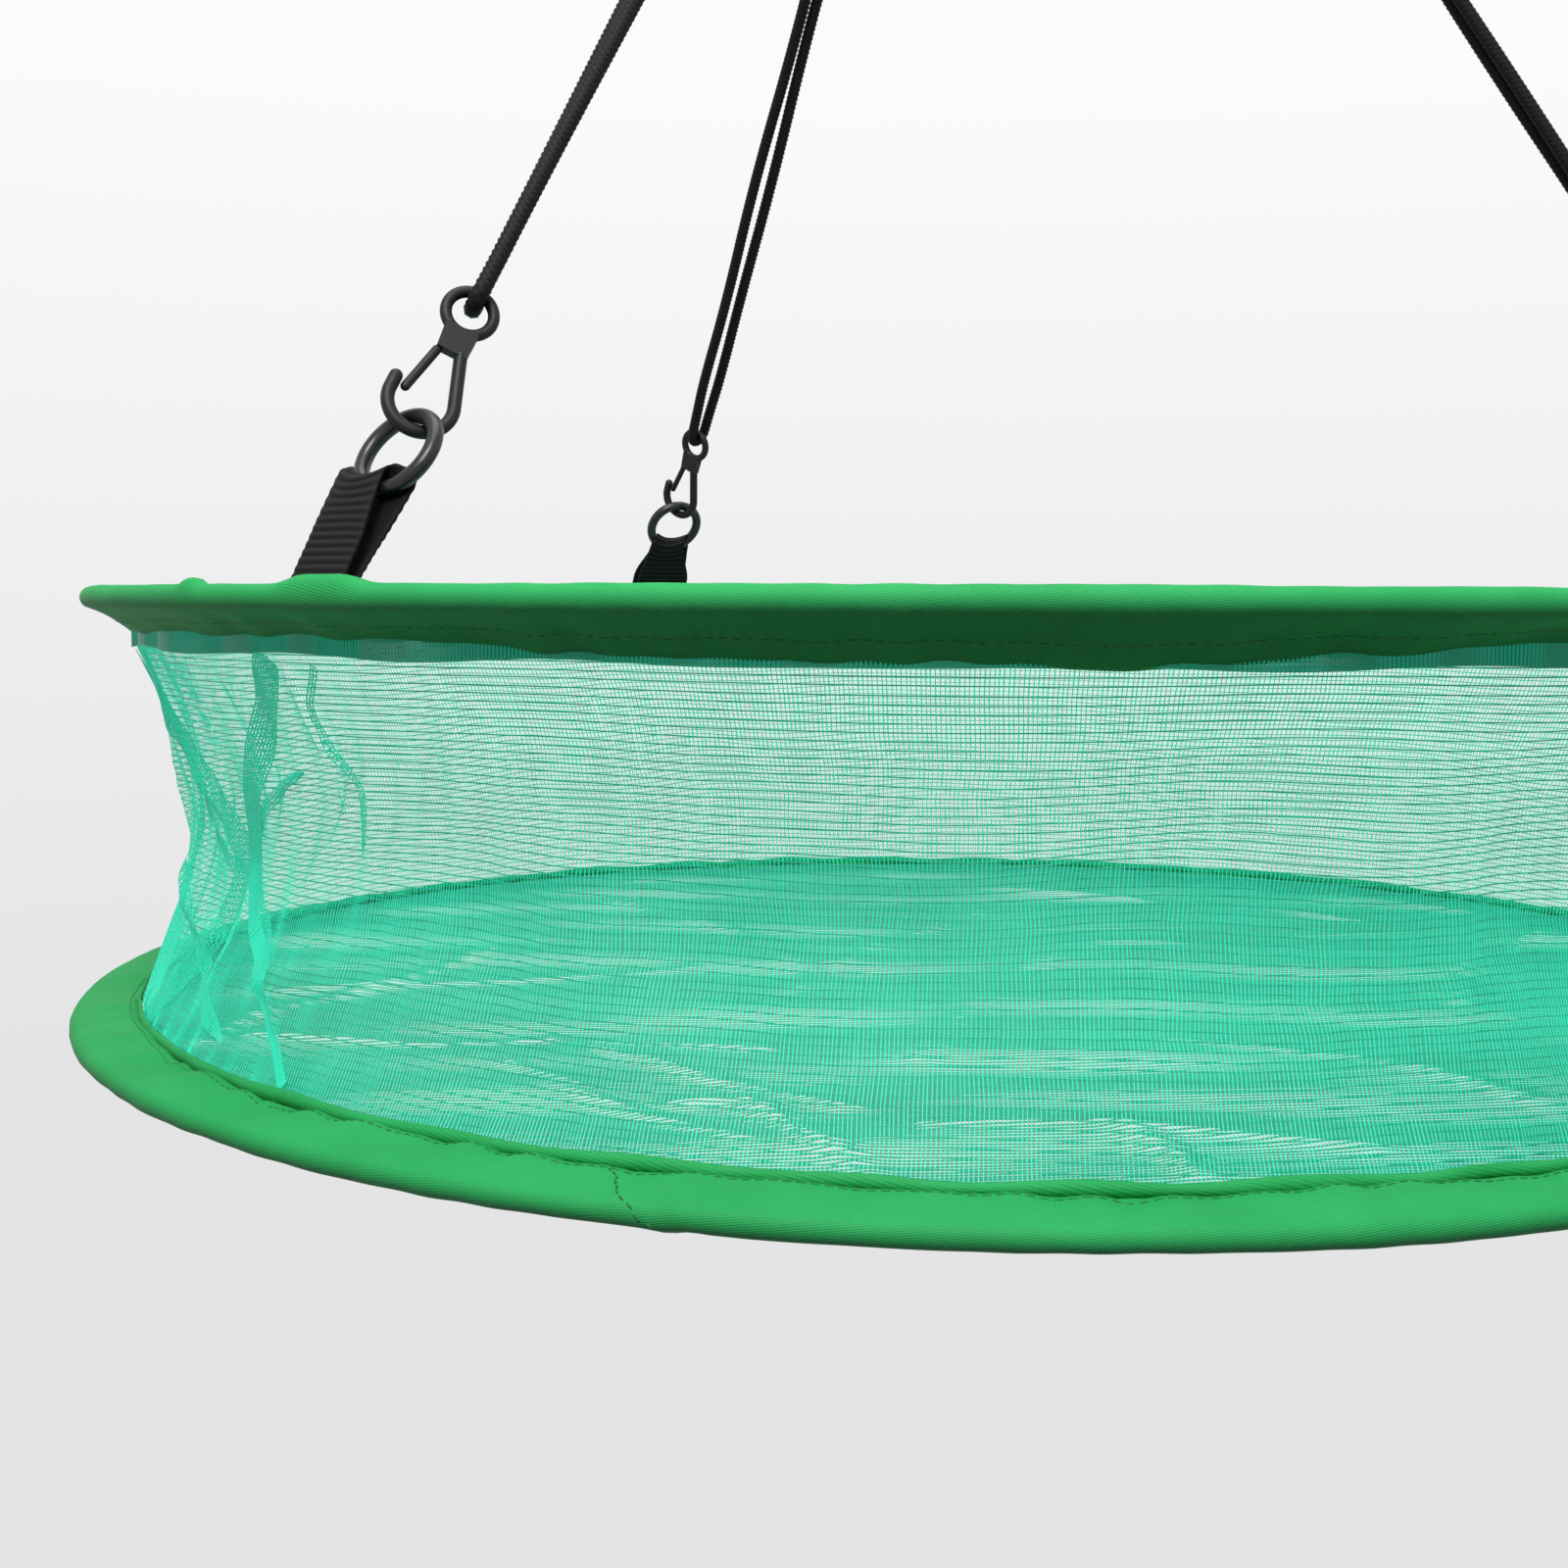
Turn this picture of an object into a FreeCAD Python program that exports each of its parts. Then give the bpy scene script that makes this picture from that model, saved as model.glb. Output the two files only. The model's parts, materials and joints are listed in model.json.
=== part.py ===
"""A round hanging net tray: two wire hoops in sewn bindings, a netting wall and floor, and three cords to one ring.

The origin is the middle of the hanging ring's hole, +Z is up, and sizes are in millimetres. The net hangs below it.
A chain is a webbing tab, a steel ring, a snap hook and a doubled cord. Its pieces are made in the chain's own frame:
X along the hoop, Y outward and up, Z along the chain from the hoop's wire to the knot under the hanging ring.
"""

import FreeCAD
import Part

import math
import os

import Sketcher

Vector = FreeCAD.Vector

SIZES = {
    # The hanging ring, and the knot that gathers the cords under it.
    "hanging_ring_mean_radius": 17.5,
    "hanging_ring_wire_radius": 2.5,
    "knot_radius": 10.5,
    "knot_half_height": 11.5,
    "knot_drop": 16,
    "knot_loop_play": 0.6,
    "cord_end_depth": 3.5,
    # The two hoops and their bindings.
    "bottom_hoop_radius": 297,
    "top_hoop_radius": 291,
    "hoop_spacing": 131,
    "cord_rise": 421,
    "hoop_wire_radius": 1.75,
    "ferrule_wall": 0.6,
    "ferrule_angle": 5,
    "wire_play": 0.2,
    "binding_cloth": 0.8,
    "seam_thickness": 1.8,
    "top_band_reach": 12.5,
    "top_band_drop": 13,
    "bottom_band_reach": 18,
    "bottom_band_rise": 3.5,
    # The netting.
    "netting_thickness": 0.8,
    "waist_radius": 259,
    "netting_play": 0.3,
    "waist_curve": 0.4,
    "waist_shoulder": 0.25,
    "waist_level": 0.48,
    "waist_foot": 0.22,
    "wall_seam_width": 9,
    "wall_seam_thickness": 0.7,
    "wall_seam_gap": 0.1,
    "wall_seam_inset": 1,
    "floor_rim_width": 9,
    "floor_rim_thickness": 0.5,
    # The chains.
    "webbing_width": 25,
    "webbing_thickness": 1.6,
    "webbing_neck": 15.5,
    "strap_bend_angle": 84,
    "strap_tuck": 0.53,
    "strap_gap": 0.05,
    "tab_ring_height": 42,
    "tab_ring_mean_radius": 11,
    "tab_ring_wire_radius": 2,
    "ring_play": 0.3,
    "eye_mean_radius": 6.0,
    "eye_bar_radius": 1.5,
    "neck_length": 12.6,
    "neck_thickness": 3.2,
    "neck_foot_inner": 3.6,
    "neck_foot_outer": 4.4,
    "neck_head_inner": 4.3,
    "neck_head_outer": 4.5,
    "spine_offset": 2.6,
    "spine_overlap": 1.1,
    "bow_length": 28,
    "bow_radius": 8.1,
    "bow_shift": 0.75,
    "bow_bar_radius": 1.7,
    "nose_length": 3.2,
    "gate_radius": 1.2,
    "gate_play": 0.3,
    "cord_diameter": 4.5,
    "cord_play": 0.2,
}
# The tabs are sewn on by hand, a degree or two off an even spacing.
CHAIN_AZIMUTHS = (91.2, 208.3, 330)
WALL_SEAM_AZIMUTH = 196.5
TOP_FERRULE_AZIMUTH = 60
BOTTOM_FERRULE_AZIMUTH = 120
# The gate's root and tip, outward of the chain's line and down from the eye's middle.
GATE_ROOT = (3.1, 13.3)
GATE_TIP = (5.75, 26.2)
# How far each chain's hook is turned about the chain, in degrees, and how far up its cord's legs follow the turn.
HOOK_TURNS = (28, -38, 15)
TURN_FADE = 100
# How much of the shorter run each of a cord's corners rounds off.
CORNER_SHARE = 0.45

# Each leg of a cord from the hook's eye to the knot: how far up from the eye's bar, and how far it stands to the
# side and outward of the chain's line. The first leg runs down to the eye, and the second up again beside it.
LEG_ROUTES = {
    1: (
        [
            (8, 4.1, 0.1), (28, 4.5, -0.3), (66, 4.1, 0.7), (122, 3.5, -0.6),
            (182, 2.5, 0.5), (243, 2.9, -0.5), (304, 2.4, 0.7), (364, 2.8, -0.2),
        ],
        [
            (8, -4.0, 0.2), (27, -4.6, 0.4), (64, -3.7, -0.8), (119, -3.9, 0.6),
            (180, -2.4, -0.4), (241, -2.7, 0.6), (302, -2.6, -0.5), (363, -2.5, 0.4),
        ],
    ),
    2: (
        [
            (8, 3.9, 0.0), (26, 3.2, -0.3), (63, 2.5, -0.5), (119, 2.4, -0.6),
            (179, 2.5, -0.3), (240, 2.4, 0.2), (301, 2.5, -0.2), (362, 2.4, 0.1),
        ],
        [
            (8, -3.9, 0.0), (26, -3.1, 0.4), (63, -2.4, 0.6), (119, -2.5, 0.3),
            (179, -2.4, 0.6), (240, -2.5, 0.1), (301, -2.4, 0.3), (362, -2.5, -0.1),
        ],
    ),
    3: (
        [
            (8, 4.0, 0.2), (27, 3.8, 0.8), (65, 3.3, 0.2), (121, 2.7, 0.9),
            (181, 2.8, 0.1), (242, 2.3, 0.9), (303, 2.6, 0.2), (363, 2.4, 0.6),
        ],
        [
            (8, -4.0, 0.0), (28, -4.0, -0.6), (66, -3.2, 0.2), (120, -3.0, -0.8),
            (180, -2.3, -0.2), (241, -2.7, -0.8), (303, -2.2, -0.1), (363, -2.6, -0.5),
        ],
    ),
}

doc = FreeCAD.newDocument("hanging_net_tray")
sheet = doc.addObject("Spreadsheet::Sheet", "Sizes")


def fill_sheet():
    for row, (name, value) in enumerate(SIZES.items(), 1):
        sheet.set(f"A{row}", name)
        sheet.set(f"B{row}", str(value))
        sheet.setAlias(f"B{row}", name)
    doc.recompute()


def size(name):
    return float(getattr(sheet, name))


def in_sheet(expression):
    """An expression with each <name> written as the sheet's cell of that name."""
    return expression.replace("<", "Sizes.").replace(">", "")


def bind(thing, **expressions):
    """Sets each property of a document object to an expression in the sheet's names."""
    for prop, expression in expressions.items():
        thing.setExpression(prop, in_sheet(expression))
    return thing


def primitive(kind, name, place=None, **expressions):
    thing = doc.addObject(f"Part::{kind}", name)
    if place is not None:
        thing.Placement = place
    return bind(thing, **expressions)


def at(point, axis=Vector(0, 0, 1)):
    """A place at a point, with its own Z along an axis."""
    return FreeCAD.Placement(Vector(point), FreeCAD.Rotation(Vector(0, 0, 1), Vector(axis)))


def joined(name, pieces):
    whole = doc.addObject("Part::MultiFuse", name)
    whole.Shapes = pieces
    whole.Refine = False
    return whole


def cut(name, base, tool):
    result = doc.addObject("Part::Cut", name)
    result.Base = base
    result.Tool = tool
    return result


def origin_plane(body, role):
    return next(f for f in body.Origin.OriginFeatures if f.Role == role)


def turned(name, outline, height, angle="360 deg"):
    """A body turned about +Z from an outline of (radius, height) corners, each an expression, stood at a height."""
    body = doc.addObject("PartDesign::Body", name)
    sketch = body.newObject("Sketcher::SketchObject", name + "_outline")
    sketch.AttachmentSupport = (origin_plane(body, "XZ_Plane"), [""])
    sketch.MapMode = "FlatFace"
    count = len(outline)
    doc.recompute()
    # The corners start evenly round a small circle, and the constraints then move them to their places.
    turns = [2 * math.pi * i / count for i in range(count)]
    starts = [Vector(270 + 9 * math.cos(a), 40 + 9 * math.sin(a), 0) for a in turns]
    for i in range(count):
        sketch.addGeometry(Part.LineSegment(starts[i], starts[(i + 1) % count]), False)
    for i in range(count):
        sketch.addConstraint(Sketcher.Constraint("Coincident", i, 2, (i + 1) % count, 1))
    for i, (across, up) in enumerate(outline):
        for kind, start, expression in (("DistanceX", starts[i].x, across), ("DistanceY", starts[i].y, up)):
            index = sketch.addConstraint(Sketcher.Constraint(kind, -1, 1, i, 1, start))
            sketch.setExpression(f"Constraints[{index}]", in_sheet(expression))
    turn = body.newObject("PartDesign::Revolution", name + "_turn")
    turn.Profile = sketch
    turn.ReferenceAxis = (sketch, ["V_Axis"])
    turn.setExpression("Angle", in_sheet(angle))
    body.Tip = turn
    body.Placement = FreeCAD.Placement(Vector(0, 0, height), FreeCAD.Rotation())
    return body


# Heights that many pieces share.
def ring_wire_height():
    return -size("hanging_ring_mean_radius")


def knot_height():
    return ring_wire_height() - size("knot_drop")


def cord_end_height():
    return knot_height() - size("knot_half_height") + size("cord_end_depth")


def top_height():
    return cord_end_height() - size("cord_rise")


def bottom_height():
    return top_height() - size("hoop_spacing")


# The outside and inside radii of a binding's channel round its wire.
SLEEVE = "<hoop_wire_radius> + <ferrule_wall> + <wire_play> + <binding_cloth>"
CHANNEL = "<hoop_wire_radius> + <ferrule_wall> + <wire_play>"


def cord_end_radius():
    """How far from the middle the six cord ends stand, so that neighbours just clear each other."""
    return (size("cord_diameter") + size("ring_play")) * math.cos(math.radians(30))


def chain_place(azimuth):
    """A chain's frame, with its origin on the top hoop's wire, and its length up to the cords' ends."""
    outward = Vector(math.cos(math.radians(azimuth)), math.sin(math.radians(azimuth)), 0)
    base = outward * size("top_hoop_radius") + Vector(0, 0, top_height())
    end = outward * cord_end_radius() + Vector(0, 0, cord_end_height())
    along = (end - base).normalize()
    side = outward.cross(Vector(0, 0, 1)).normalize()
    up = along.cross(side)
    return FreeCAD.Placement(base, FreeCAD.Rotation(side, up, along, "ZXY")), (end - base).Length


def eye_centre():
    """How far up a chain the middle of its hook's eye is."""
    ring_top = size("tab_ring_height") + size("tab_ring_mean_radius")
    reach = size("bow_radius") - size("bow_bar_radius")
    inside = math.sqrt(reach**2 - size("bow_shift") ** 2)
    contact = size("tab_ring_wire_radius") + size("ring_play")
    return ring_top + size("bow_length") + inside - contact


def hanging_ring():
    return primitive(
        "Torus", "hanging_ring", at((0, 0, 0), (0, 1, 0)),
        Radius1="<hanging_ring_mean_radius>", Radius2="<hanging_ring_wire_radius>",
    )


def top_knot():
    """The knot that gathers the three cords, with its three loops round the hanging ring's lowest stretch."""
    ball = primitive(
        "Ellipsoid", "knot_ball", at((0, 0, knot_height())),
        Radius1="<knot_half_height>", Radius2="<knot_radius>", Radius3="<knot_radius>",
    )
    loops = []
    spacing = size("cord_diameter") + size("ring_play")
    for i, x in enumerate((-spacing, 0, spacing), 1):
        lift = size("hanging_ring_mean_radius") - math.sqrt(size("hanging_ring_mean_radius") ** 2 - x**2)
        loops.append(
            primitive(
                "Torus", f"knot_loop_{i}", at((x, 0, ring_wire_height() + lift), (1, 0, 0)),
                Radius1="<hanging_ring_wire_radius> + <cord_diameter> / 2 + <knot_loop_play>",
                Radius2="<cord_diameter> / 2",
            )
        )
    return joined("top_knot", [ball] + loops)


def hoop(which, radius, height, ferrule_azimuth):
    """A hoop's wire, and the ferrule pressed over its joint."""
    wire = primitive(
        "Torus", f"{which}_hoop_wire", at((0, 0, height)), Radius1=f"<{radius}>", Radius2="<hoop_wire_radius>"
    )
    start = FreeCAD.Placement(Vector(0, 0, height), FreeCAD.Rotation(Vector(0, 0, 1), ferrule_azimuth))
    outside = primitive(
        "Torus", f"{which}_ferrule_outside", start, Radius1=f"<{radius}>",
        Radius2="<hoop_wire_radius> + <ferrule_wall>", Angle3="<ferrule_angle>",
    )
    inside = primitive(
        "Torus", f"{which}_ferrule_inside", start, Radius1=f"<{radius}>",
        Radius2="<hoop_wire_radius>", Angle3="<ferrule_angle>",
    )
    return [wire, cut(f"{which}_hoop_ferrule", outside, inside)]


def binding(which, radius, height, reach, rise):
    """A sewn sleeve: a round channel on the hoop's wire, and a flat band from it to the stitched seam."""
    half = "<seam_thickness> / 2"
    band = turned(
        f"{which}_band",
        [
            (f"<{radius}>", f"-({half})"),
            (f"<{radius}>", half),
            (f"<{radius}> - <{reach}>", f"{rise} + {half}"),
            (f"<{radius}> - <{reach}>", f"{rise} - {half}"),
        ],
        height,
    )
    if which == "top":
        band = turned(
            "top_band_steep",
            [
                (f"<{radius}> + {half}", "0"),
                (f"<{radius}> - <{reach}> + {half}", rise),
                (f"<{radius}> - <{reach}> - {half}", rise),
                (f"<{radius}> - {half}", "0"),
            ],
            height,
        )
    sleeve = primitive("Torus", f"{which}_sleeve", at((0, 0, height)), Radius1=f"<{radius}>", Radius2=SLEEVE)
    channel = primitive("Torus", f"{which}_channel", at((0, 0, height)), Radius1=f"<{radius}>", Radius2=CHANNEL)
    return cut(f"{which}_binding", joined(f"{which}_cloth", [sleeve, band]), channel)


TOP_SEAM = "(<top_hoop_radius> - <top_band_reach>)"
BOTTOM_SEAM = "(<bottom_hoop_radius> - <bottom_band_reach>)"
WALL_LOW = "(<bottom_band_rise> + <seam_thickness> / 2 + <netting_play>)"
WALL_HIGH = "(<hoop_spacing> - <top_band_drop>)"


def wall_line(offset, inset="0"):
    """The waisted wall's corners from top to bottom, standing off its middle surface, above the bottom hoop's wire."""
    top, low = f"({WALL_HIGH} - {inset})", f"({WALL_LOW} + {inset})"
    span = f"({top} - {low})"
    stations = [
        (TOP_SEAM, top),
        (f"(<waist_radius> + ({TOP_SEAM} - <waist_radius>) * <waist_curve>)", f"{top} - {span} * <waist_shoulder>"),
        ("<waist_radius>", f"{low} + {span} * <waist_level>"),
        (f"(<waist_radius> + ({BOTTOM_SEAM} - <waist_radius>) * <waist_curve>)", f"{low} + {span} * <waist_foot>"),
        (BOTTOM_SEAM, low),
    ]
    return [(f"{radius} + ({offset})", up) for radius, up in stations]


def netting_wall():
    outside = wall_line("<netting_thickness> / 2")
    inside = wall_line("-<netting_thickness> / 2")
    return turned("side_mesh", outside + inside[::-1], bottom_height())


def wall_seam():
    """The strip where the wall's two ends are lapped and sewn, on the outside of the wall."""
    near = wall_line("<netting_thickness> / 2 + <wall_seam_gap>", "<wall_seam_inset>")
    far = wall_line(
        "<netting_thickness> / 2 + <wall_seam_gap> + <wall_seam_thickness>", "<wall_seam_inset>"
    )
    strip = turned(
        "side_mesh_seam", far + near[::-1], bottom_height(), "<wall_seam_width> / <waist_radius> * 180 deg / pi"
    )
    strip.Placement = FreeCAD.Placement(
        strip.Placement.Base, FreeCAD.Rotation(Vector(0, 0, 1), WALL_SEAM_AZIMUTH)
    )
    return strip


def netting_floor():
    """The floor, stretched thinner over its rim, where the binding's seam pulls on it."""
    low = at((0, 0, bottom_height() + size("bottom_band_rise") - size("netting_thickness") / 2))
    rim = primitive("Cylinder", "floor_rim", low, Radius=BOTTOM_SEAM, Height="<floor_rim_thickness>")
    middle = primitive(
        "Cylinder", "floor_middle", low, Radius=f"{BOTTOM_SEAM} - <floor_rim_width>", Height="<netting_thickness>"
    )
    return joined("floor_mesh", [rim, middle])


# A torus or wedge is made along its own axes, and these turn it into a chain's frame.
RING_FLAT = FreeCAD.Rotation(Vector(1, 0, 0), 90)
EYE_FLAT = FreeCAD.Rotation(Vector(0, 1, 0), 90)


def on_chain(y, z, turn=None):
    return FreeCAD.Placement(Vector(0, y, z), turn or FreeCAD.Rotation())


def tab_ring(i):
    centre = on_chain(0, size("tab_ring_height"), RING_FLAT)
    return primitive(
        "Torus", f"tab_ring_{i}", centre, Radius1="<tab_ring_mean_radius>", Radius2="<tab_ring_wire_radius>"
    )


def webbing_tab(i, place):
    """A doubled strap from the hoop's sleeve, gathered where it goes round the ring."""
    loop = "<tab_ring_wire_radius> + <ring_play> + <webbing_thickness>"
    strap = primitive(
        "Wedge", f"strap_{i}", on_chain(0, 0, RING_FLAT),
        Xmin="-<webbing_width> / 2", Xmax="<webbing_width> / 2",
        X2min="-<webbing_neck> / 2", X2max="<webbing_neck> / 2",
        Zmin="-<webbing_thickness>", Zmax="<webbing_thickness>",
        Z2min=f"-({loop}) + <strap_tuck>", Z2max=f"{loop} - <strap_tuck>",
        Ymin="0", Ymax="<tab_ring_height> - <tab_ring_mean_radius>",
    )
    centre = on_chain(0, size("tab_ring_height"), RING_FLAT)
    # The bend is centred on the ring's side that faces the hoop.
    bend_start = FreeCAD.Rotation(Vector(0, 0, 1), -90 - size("strap_bend_angle") / 2)
    bend = primitive(
        "Torus", f"strap_bend_{i}", centre * FreeCAD.Placement(Vector(), bend_start),
        Radius1="<tab_ring_mean_radius>", Radius2=loop, Angle3="<strap_bend_angle>",
    )
    ring_room = primitive(
        "Torus", f"strap_ring_room_{i}", centre, Radius1="<tab_ring_mean_radius>",
        Radius2="<tab_ring_wire_radius> + <ring_play>",
    )
    sleeve_room = primitive(
        "Torus", f"strap_sleeve_room_{i}", place.inverse() * at((0, 0, top_height())), Radius1="<top_hoop_radius>",
        Radius2=f"{SLEEVE} + <strap_gap>",
    )
    return cut(
        f"webbing_tab_{i}", joined(f"strap_whole_{i}", [strap, bend]),
        joined(f"strap_room_{i}", [ring_room, sleeve_room]),
    )


def bow_path(centre):
    """A hook's bow in its own plane: down the spine, round the bottom, and up to the nose, with its two ends."""
    start = Vector(0, -size("spine_offset"), centre - size("neck_length") + size("spine_overlap"))
    middle = Vector(0, size("bow_shift"), centre - size("bow_length"))
    radius = size("bow_radius")
    away = start - middle
    # Where the spine's straight line touches the bottom's round, on the spine's side.
    lean = math.atan2(away.z, away.y) + math.acos(radius / away.Length)
    touch = middle + Vector(0, math.cos(lean), math.sin(lean)) * radius
    lowest = middle - Vector(0, 0, radius)
    side = middle + Vector(0, radius, 0)
    nose = side + Vector(0, 0, size("nose_length"))
    edges = [
        Part.LineSegment(start, touch).toShape(),
        Part.Arc(touch, lowest, side).toShape(),
        Part.LineSegment(side, nose).toShape(),
    ]
    return Part.Wire(edges), start, nose


def snap_hook(i):
    """A one-piece hook: the eye for the cord, the neck, and the bow that the ring sits in."""
    centre = eye_centre()
    eye = primitive(
        "Torus", f"hook_eye_{i}", on_chain(0, centre, EYE_FLAT),
        Radius1="<eye_mean_radius>", Radius2="<eye_bar_radius>",
    )
    neck = primitive(
        "Wedge", f"hook_neck_{i}", on_chain(0, centre, RING_FLAT),
        Xmin="-<neck_thickness> / 2", Xmax="<neck_thickness> / 2",
        X2min="-<neck_thickness> / 2", X2max="<neck_thickness> / 2",
        Zmin="-<neck_foot_inner>", Zmax="<neck_foot_outer>",
        Z2min="-<neck_head_inner>", Z2max="<neck_head_outer>",
        Ymin="-<neck_length>", Ymax="-(<eye_mean_radius> - <eye_bar_radius> / 2)",
    )
    wire, start, nose = bow_path(centre)
    profile = Part.Wire(Part.makeCircle(size("bow_bar_radius"), start, wire.Edges[0].tangentAt(0)))
    bow = doc.addObject("Part::Feature", f"hook_bow_{i}")
    bow.Shape = wire.makePipeShell([profile], True, True)
    tip = primitive(
        "Sphere", f"hook_nose_{i}", on_chain(nose.y, nose.z), Radius="<bow_bar_radius>"
    )
    root_room = primitive(
        "Sphere", f"hook_gate_room_{i}", on_chain(GATE_ROOT[0], centre - GATE_ROOT[1]),
        Radius="<gate_radius> + <gate_play>",
    )
    return cut(f"snap_hook_{i}", joined(f"hook_whole_{i}", [eye, neck, bow, tip]), root_room)


def hook_gate(i):
    """The springy arm that closes the bow, from its root at the neck to its tip inside the nose."""
    centre = eye_centre()
    root = Vector(0, GATE_ROOT[0], centre - GATE_ROOT[1])
    tip = Vector(0, GATE_TIP[0], centre - GATE_TIP[1])
    arm = primitive("Cylinder", f"gate_arm_{i}", at(root, tip - root), Radius="<gate_radius>")
    arm.Height = (tip - root).Length
    ends = [
        primitive("Sphere", f"gate_{end}_{i}", at(point), Radius="<gate_radius>")
        for end, point in (("root", root), ("tip", tip))
    ]
    return joined(f"hook_gate_{i}", [arm] + ends)


def cord_route(i, length):
    """A cord's points in its chain's frame: from the knot down to the hook's eye, round its bar and up again."""
    bar = eye_centre() + size("eye_mean_radius")
    turn = size("eye_bar_radius") + size("cord_diameter") / 2 + size("cord_play")
    end = (size("cord_diameter") + size("ring_play")) / 2
    down, up = LEG_ROUTES[i]

    def beside(rise, x, y):
        fade = max(0, min(1, 1 - rise / TURN_FADE))
        return FreeCAD.Rotation(Vector(0, 0, 1), HOOK_TURNS[i - 1] * fade).multVec(Vector(x, y, bar + rise))

    points = [Vector(end, 0, length)]
    points += [beside(*stop) for stop in down[::-1]]
    points += [beside(-turn, turn, 0), beside(-turn, -turn, 0)]
    points += [beside(*stop) for stop in up]
    points += [Vector(-end, 0, length)]
    return points


def rounded(points):
    """A wire along the points with a tangent arc at each corner, and the arcs' radii."""
    edges = []
    radii = []
    here = points[0]
    for before, corner, after in zip(points, points[1:], points[2:]):
        run_in, run_out = (corner - before), (after - corner)
        half_turn = run_in.getAngle(run_out) / 2
        trim = CORNER_SHARE * min(run_in.Length, run_out.Length)
        radii.append(trim / math.tan(half_turn))
        run_in.normalize()
        run_out.normalize()
        first, last = corner - run_in * trim, corner + run_out * trim
        inward = (run_out - run_in).normalize()
        middle = corner + inward * (radii[-1] / math.cos(half_turn) - radii[-1])
        edges += [Part.LineSegment(here, first).toShape(), Part.Arc(first, middle, last).toShape()]
        here = last
    edges.append(Part.LineSegment(here, points[-1]).toShape())
    return Part.Wire(edges), radii


def hanging_cord(i, place, length):
    points = cord_route(i, length)
    path, radii = rounded(points)
    profile = Part.Wire(Part.makeCircle(size("cord_diameter") / 2, points[0], points[1] - points[0]))
    cord = doc.addObject("Part::Feature", f"hanging_cord_{i}")
    cord.Shape = path.makePipeShell([profile], True, False)
    whole = math.pi * (size("cord_diameter") / 2) ** 2 * path.Length
    print(f"cord {i}: {path.Length:.0f} long, {cord.Shape.Volume / whole:.3f} of its section times its length")
    print("  arc radii " + ", ".join(f"{radius:.1f}" for radius in radii))
    in_part = [place.multVec(point) for point in points]
    print("  points " + " ".join(f"({p.x:.1f}, {p.y:.1f}, {p.z:.1f})" for p in in_part))
    return cord


def check_and_write(pieces):
    doc.recompute()
    for thing in doc.Objects:
        if "Invalid" in thing.State or "Error" in thing.State:
            raise RuntimeError(f"{thing.Name} didn't compute: {thing.State}")
    os.makedirs("parts", exist_ok=True)
    for piece in pieces:
        shape = piece.Shape
        if shape.isNull() or not shape.isValid() or not shape.Solids:
            raise RuntimeError(f"{piece.Name} has no valid solid")
        piece.Label = piece.Name
        shape.exportStep(f"parts/{piece.Name}.step")
    print(f"{len(pieces)} nodes")


def main():
    fill_sheet()
    pieces = [hanging_ring(), top_knot()]
    for i, azimuth in enumerate(CHAIN_AZIMUTHS, 1):
        place, length = chain_place(azimuth)
        turned = place * FreeCAD.Placement(Vector(), FreeCAD.Rotation(Vector(0, 0, 1), HOOK_TURNS[i - 1]))
        hook, gate = snap_hook(i), hook_gate(i)
        for piece in (hook, gate):
            piece.Placement = turned * piece.Placement
        chain = [webbing_tab(i, place), tab_ring(i), hook, gate, hanging_cord(i, place, length)]
        for piece in (chain[0], chain[1], chain[4]):
            piece.Placement = place * piece.Placement
        pieces += chain
    pieces += hoop("top", "top_hoop_radius", top_height(), TOP_FERRULE_AZIMUTH)
    pieces.append(binding("top", "top_hoop_radius", top_height(), "top_band_reach", "-<top_band_drop>"))
    pieces += [netting_wall(), wall_seam()]
    pieces += hoop("bottom", "bottom_hoop_radius", bottom_height(), BOTTOM_FERRULE_AZIMUTH)
    pieces.append(
        binding("bottom", "bottom_hoop_radius", bottom_height(), "bottom_band_reach", "<bottom_band_rise>")
    )
    pieces.append(netting_floor())
    check_and_write(pieces)


main()
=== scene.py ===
"""A round hanging net tray: netting wall and floor, sewn bindings, webbing tabs, braided cords and steel rings.

Lengths are in metres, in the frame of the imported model: the origin is the middle of the hanging ring's hole, +Z is up.
Azimuths are measured about +Z from +X. Each operator makes one group of pieces and puts it on its bodies.
"""

import json
import math

import bpy
import numpy as np
from mathutils import Matrix, Vector


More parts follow.
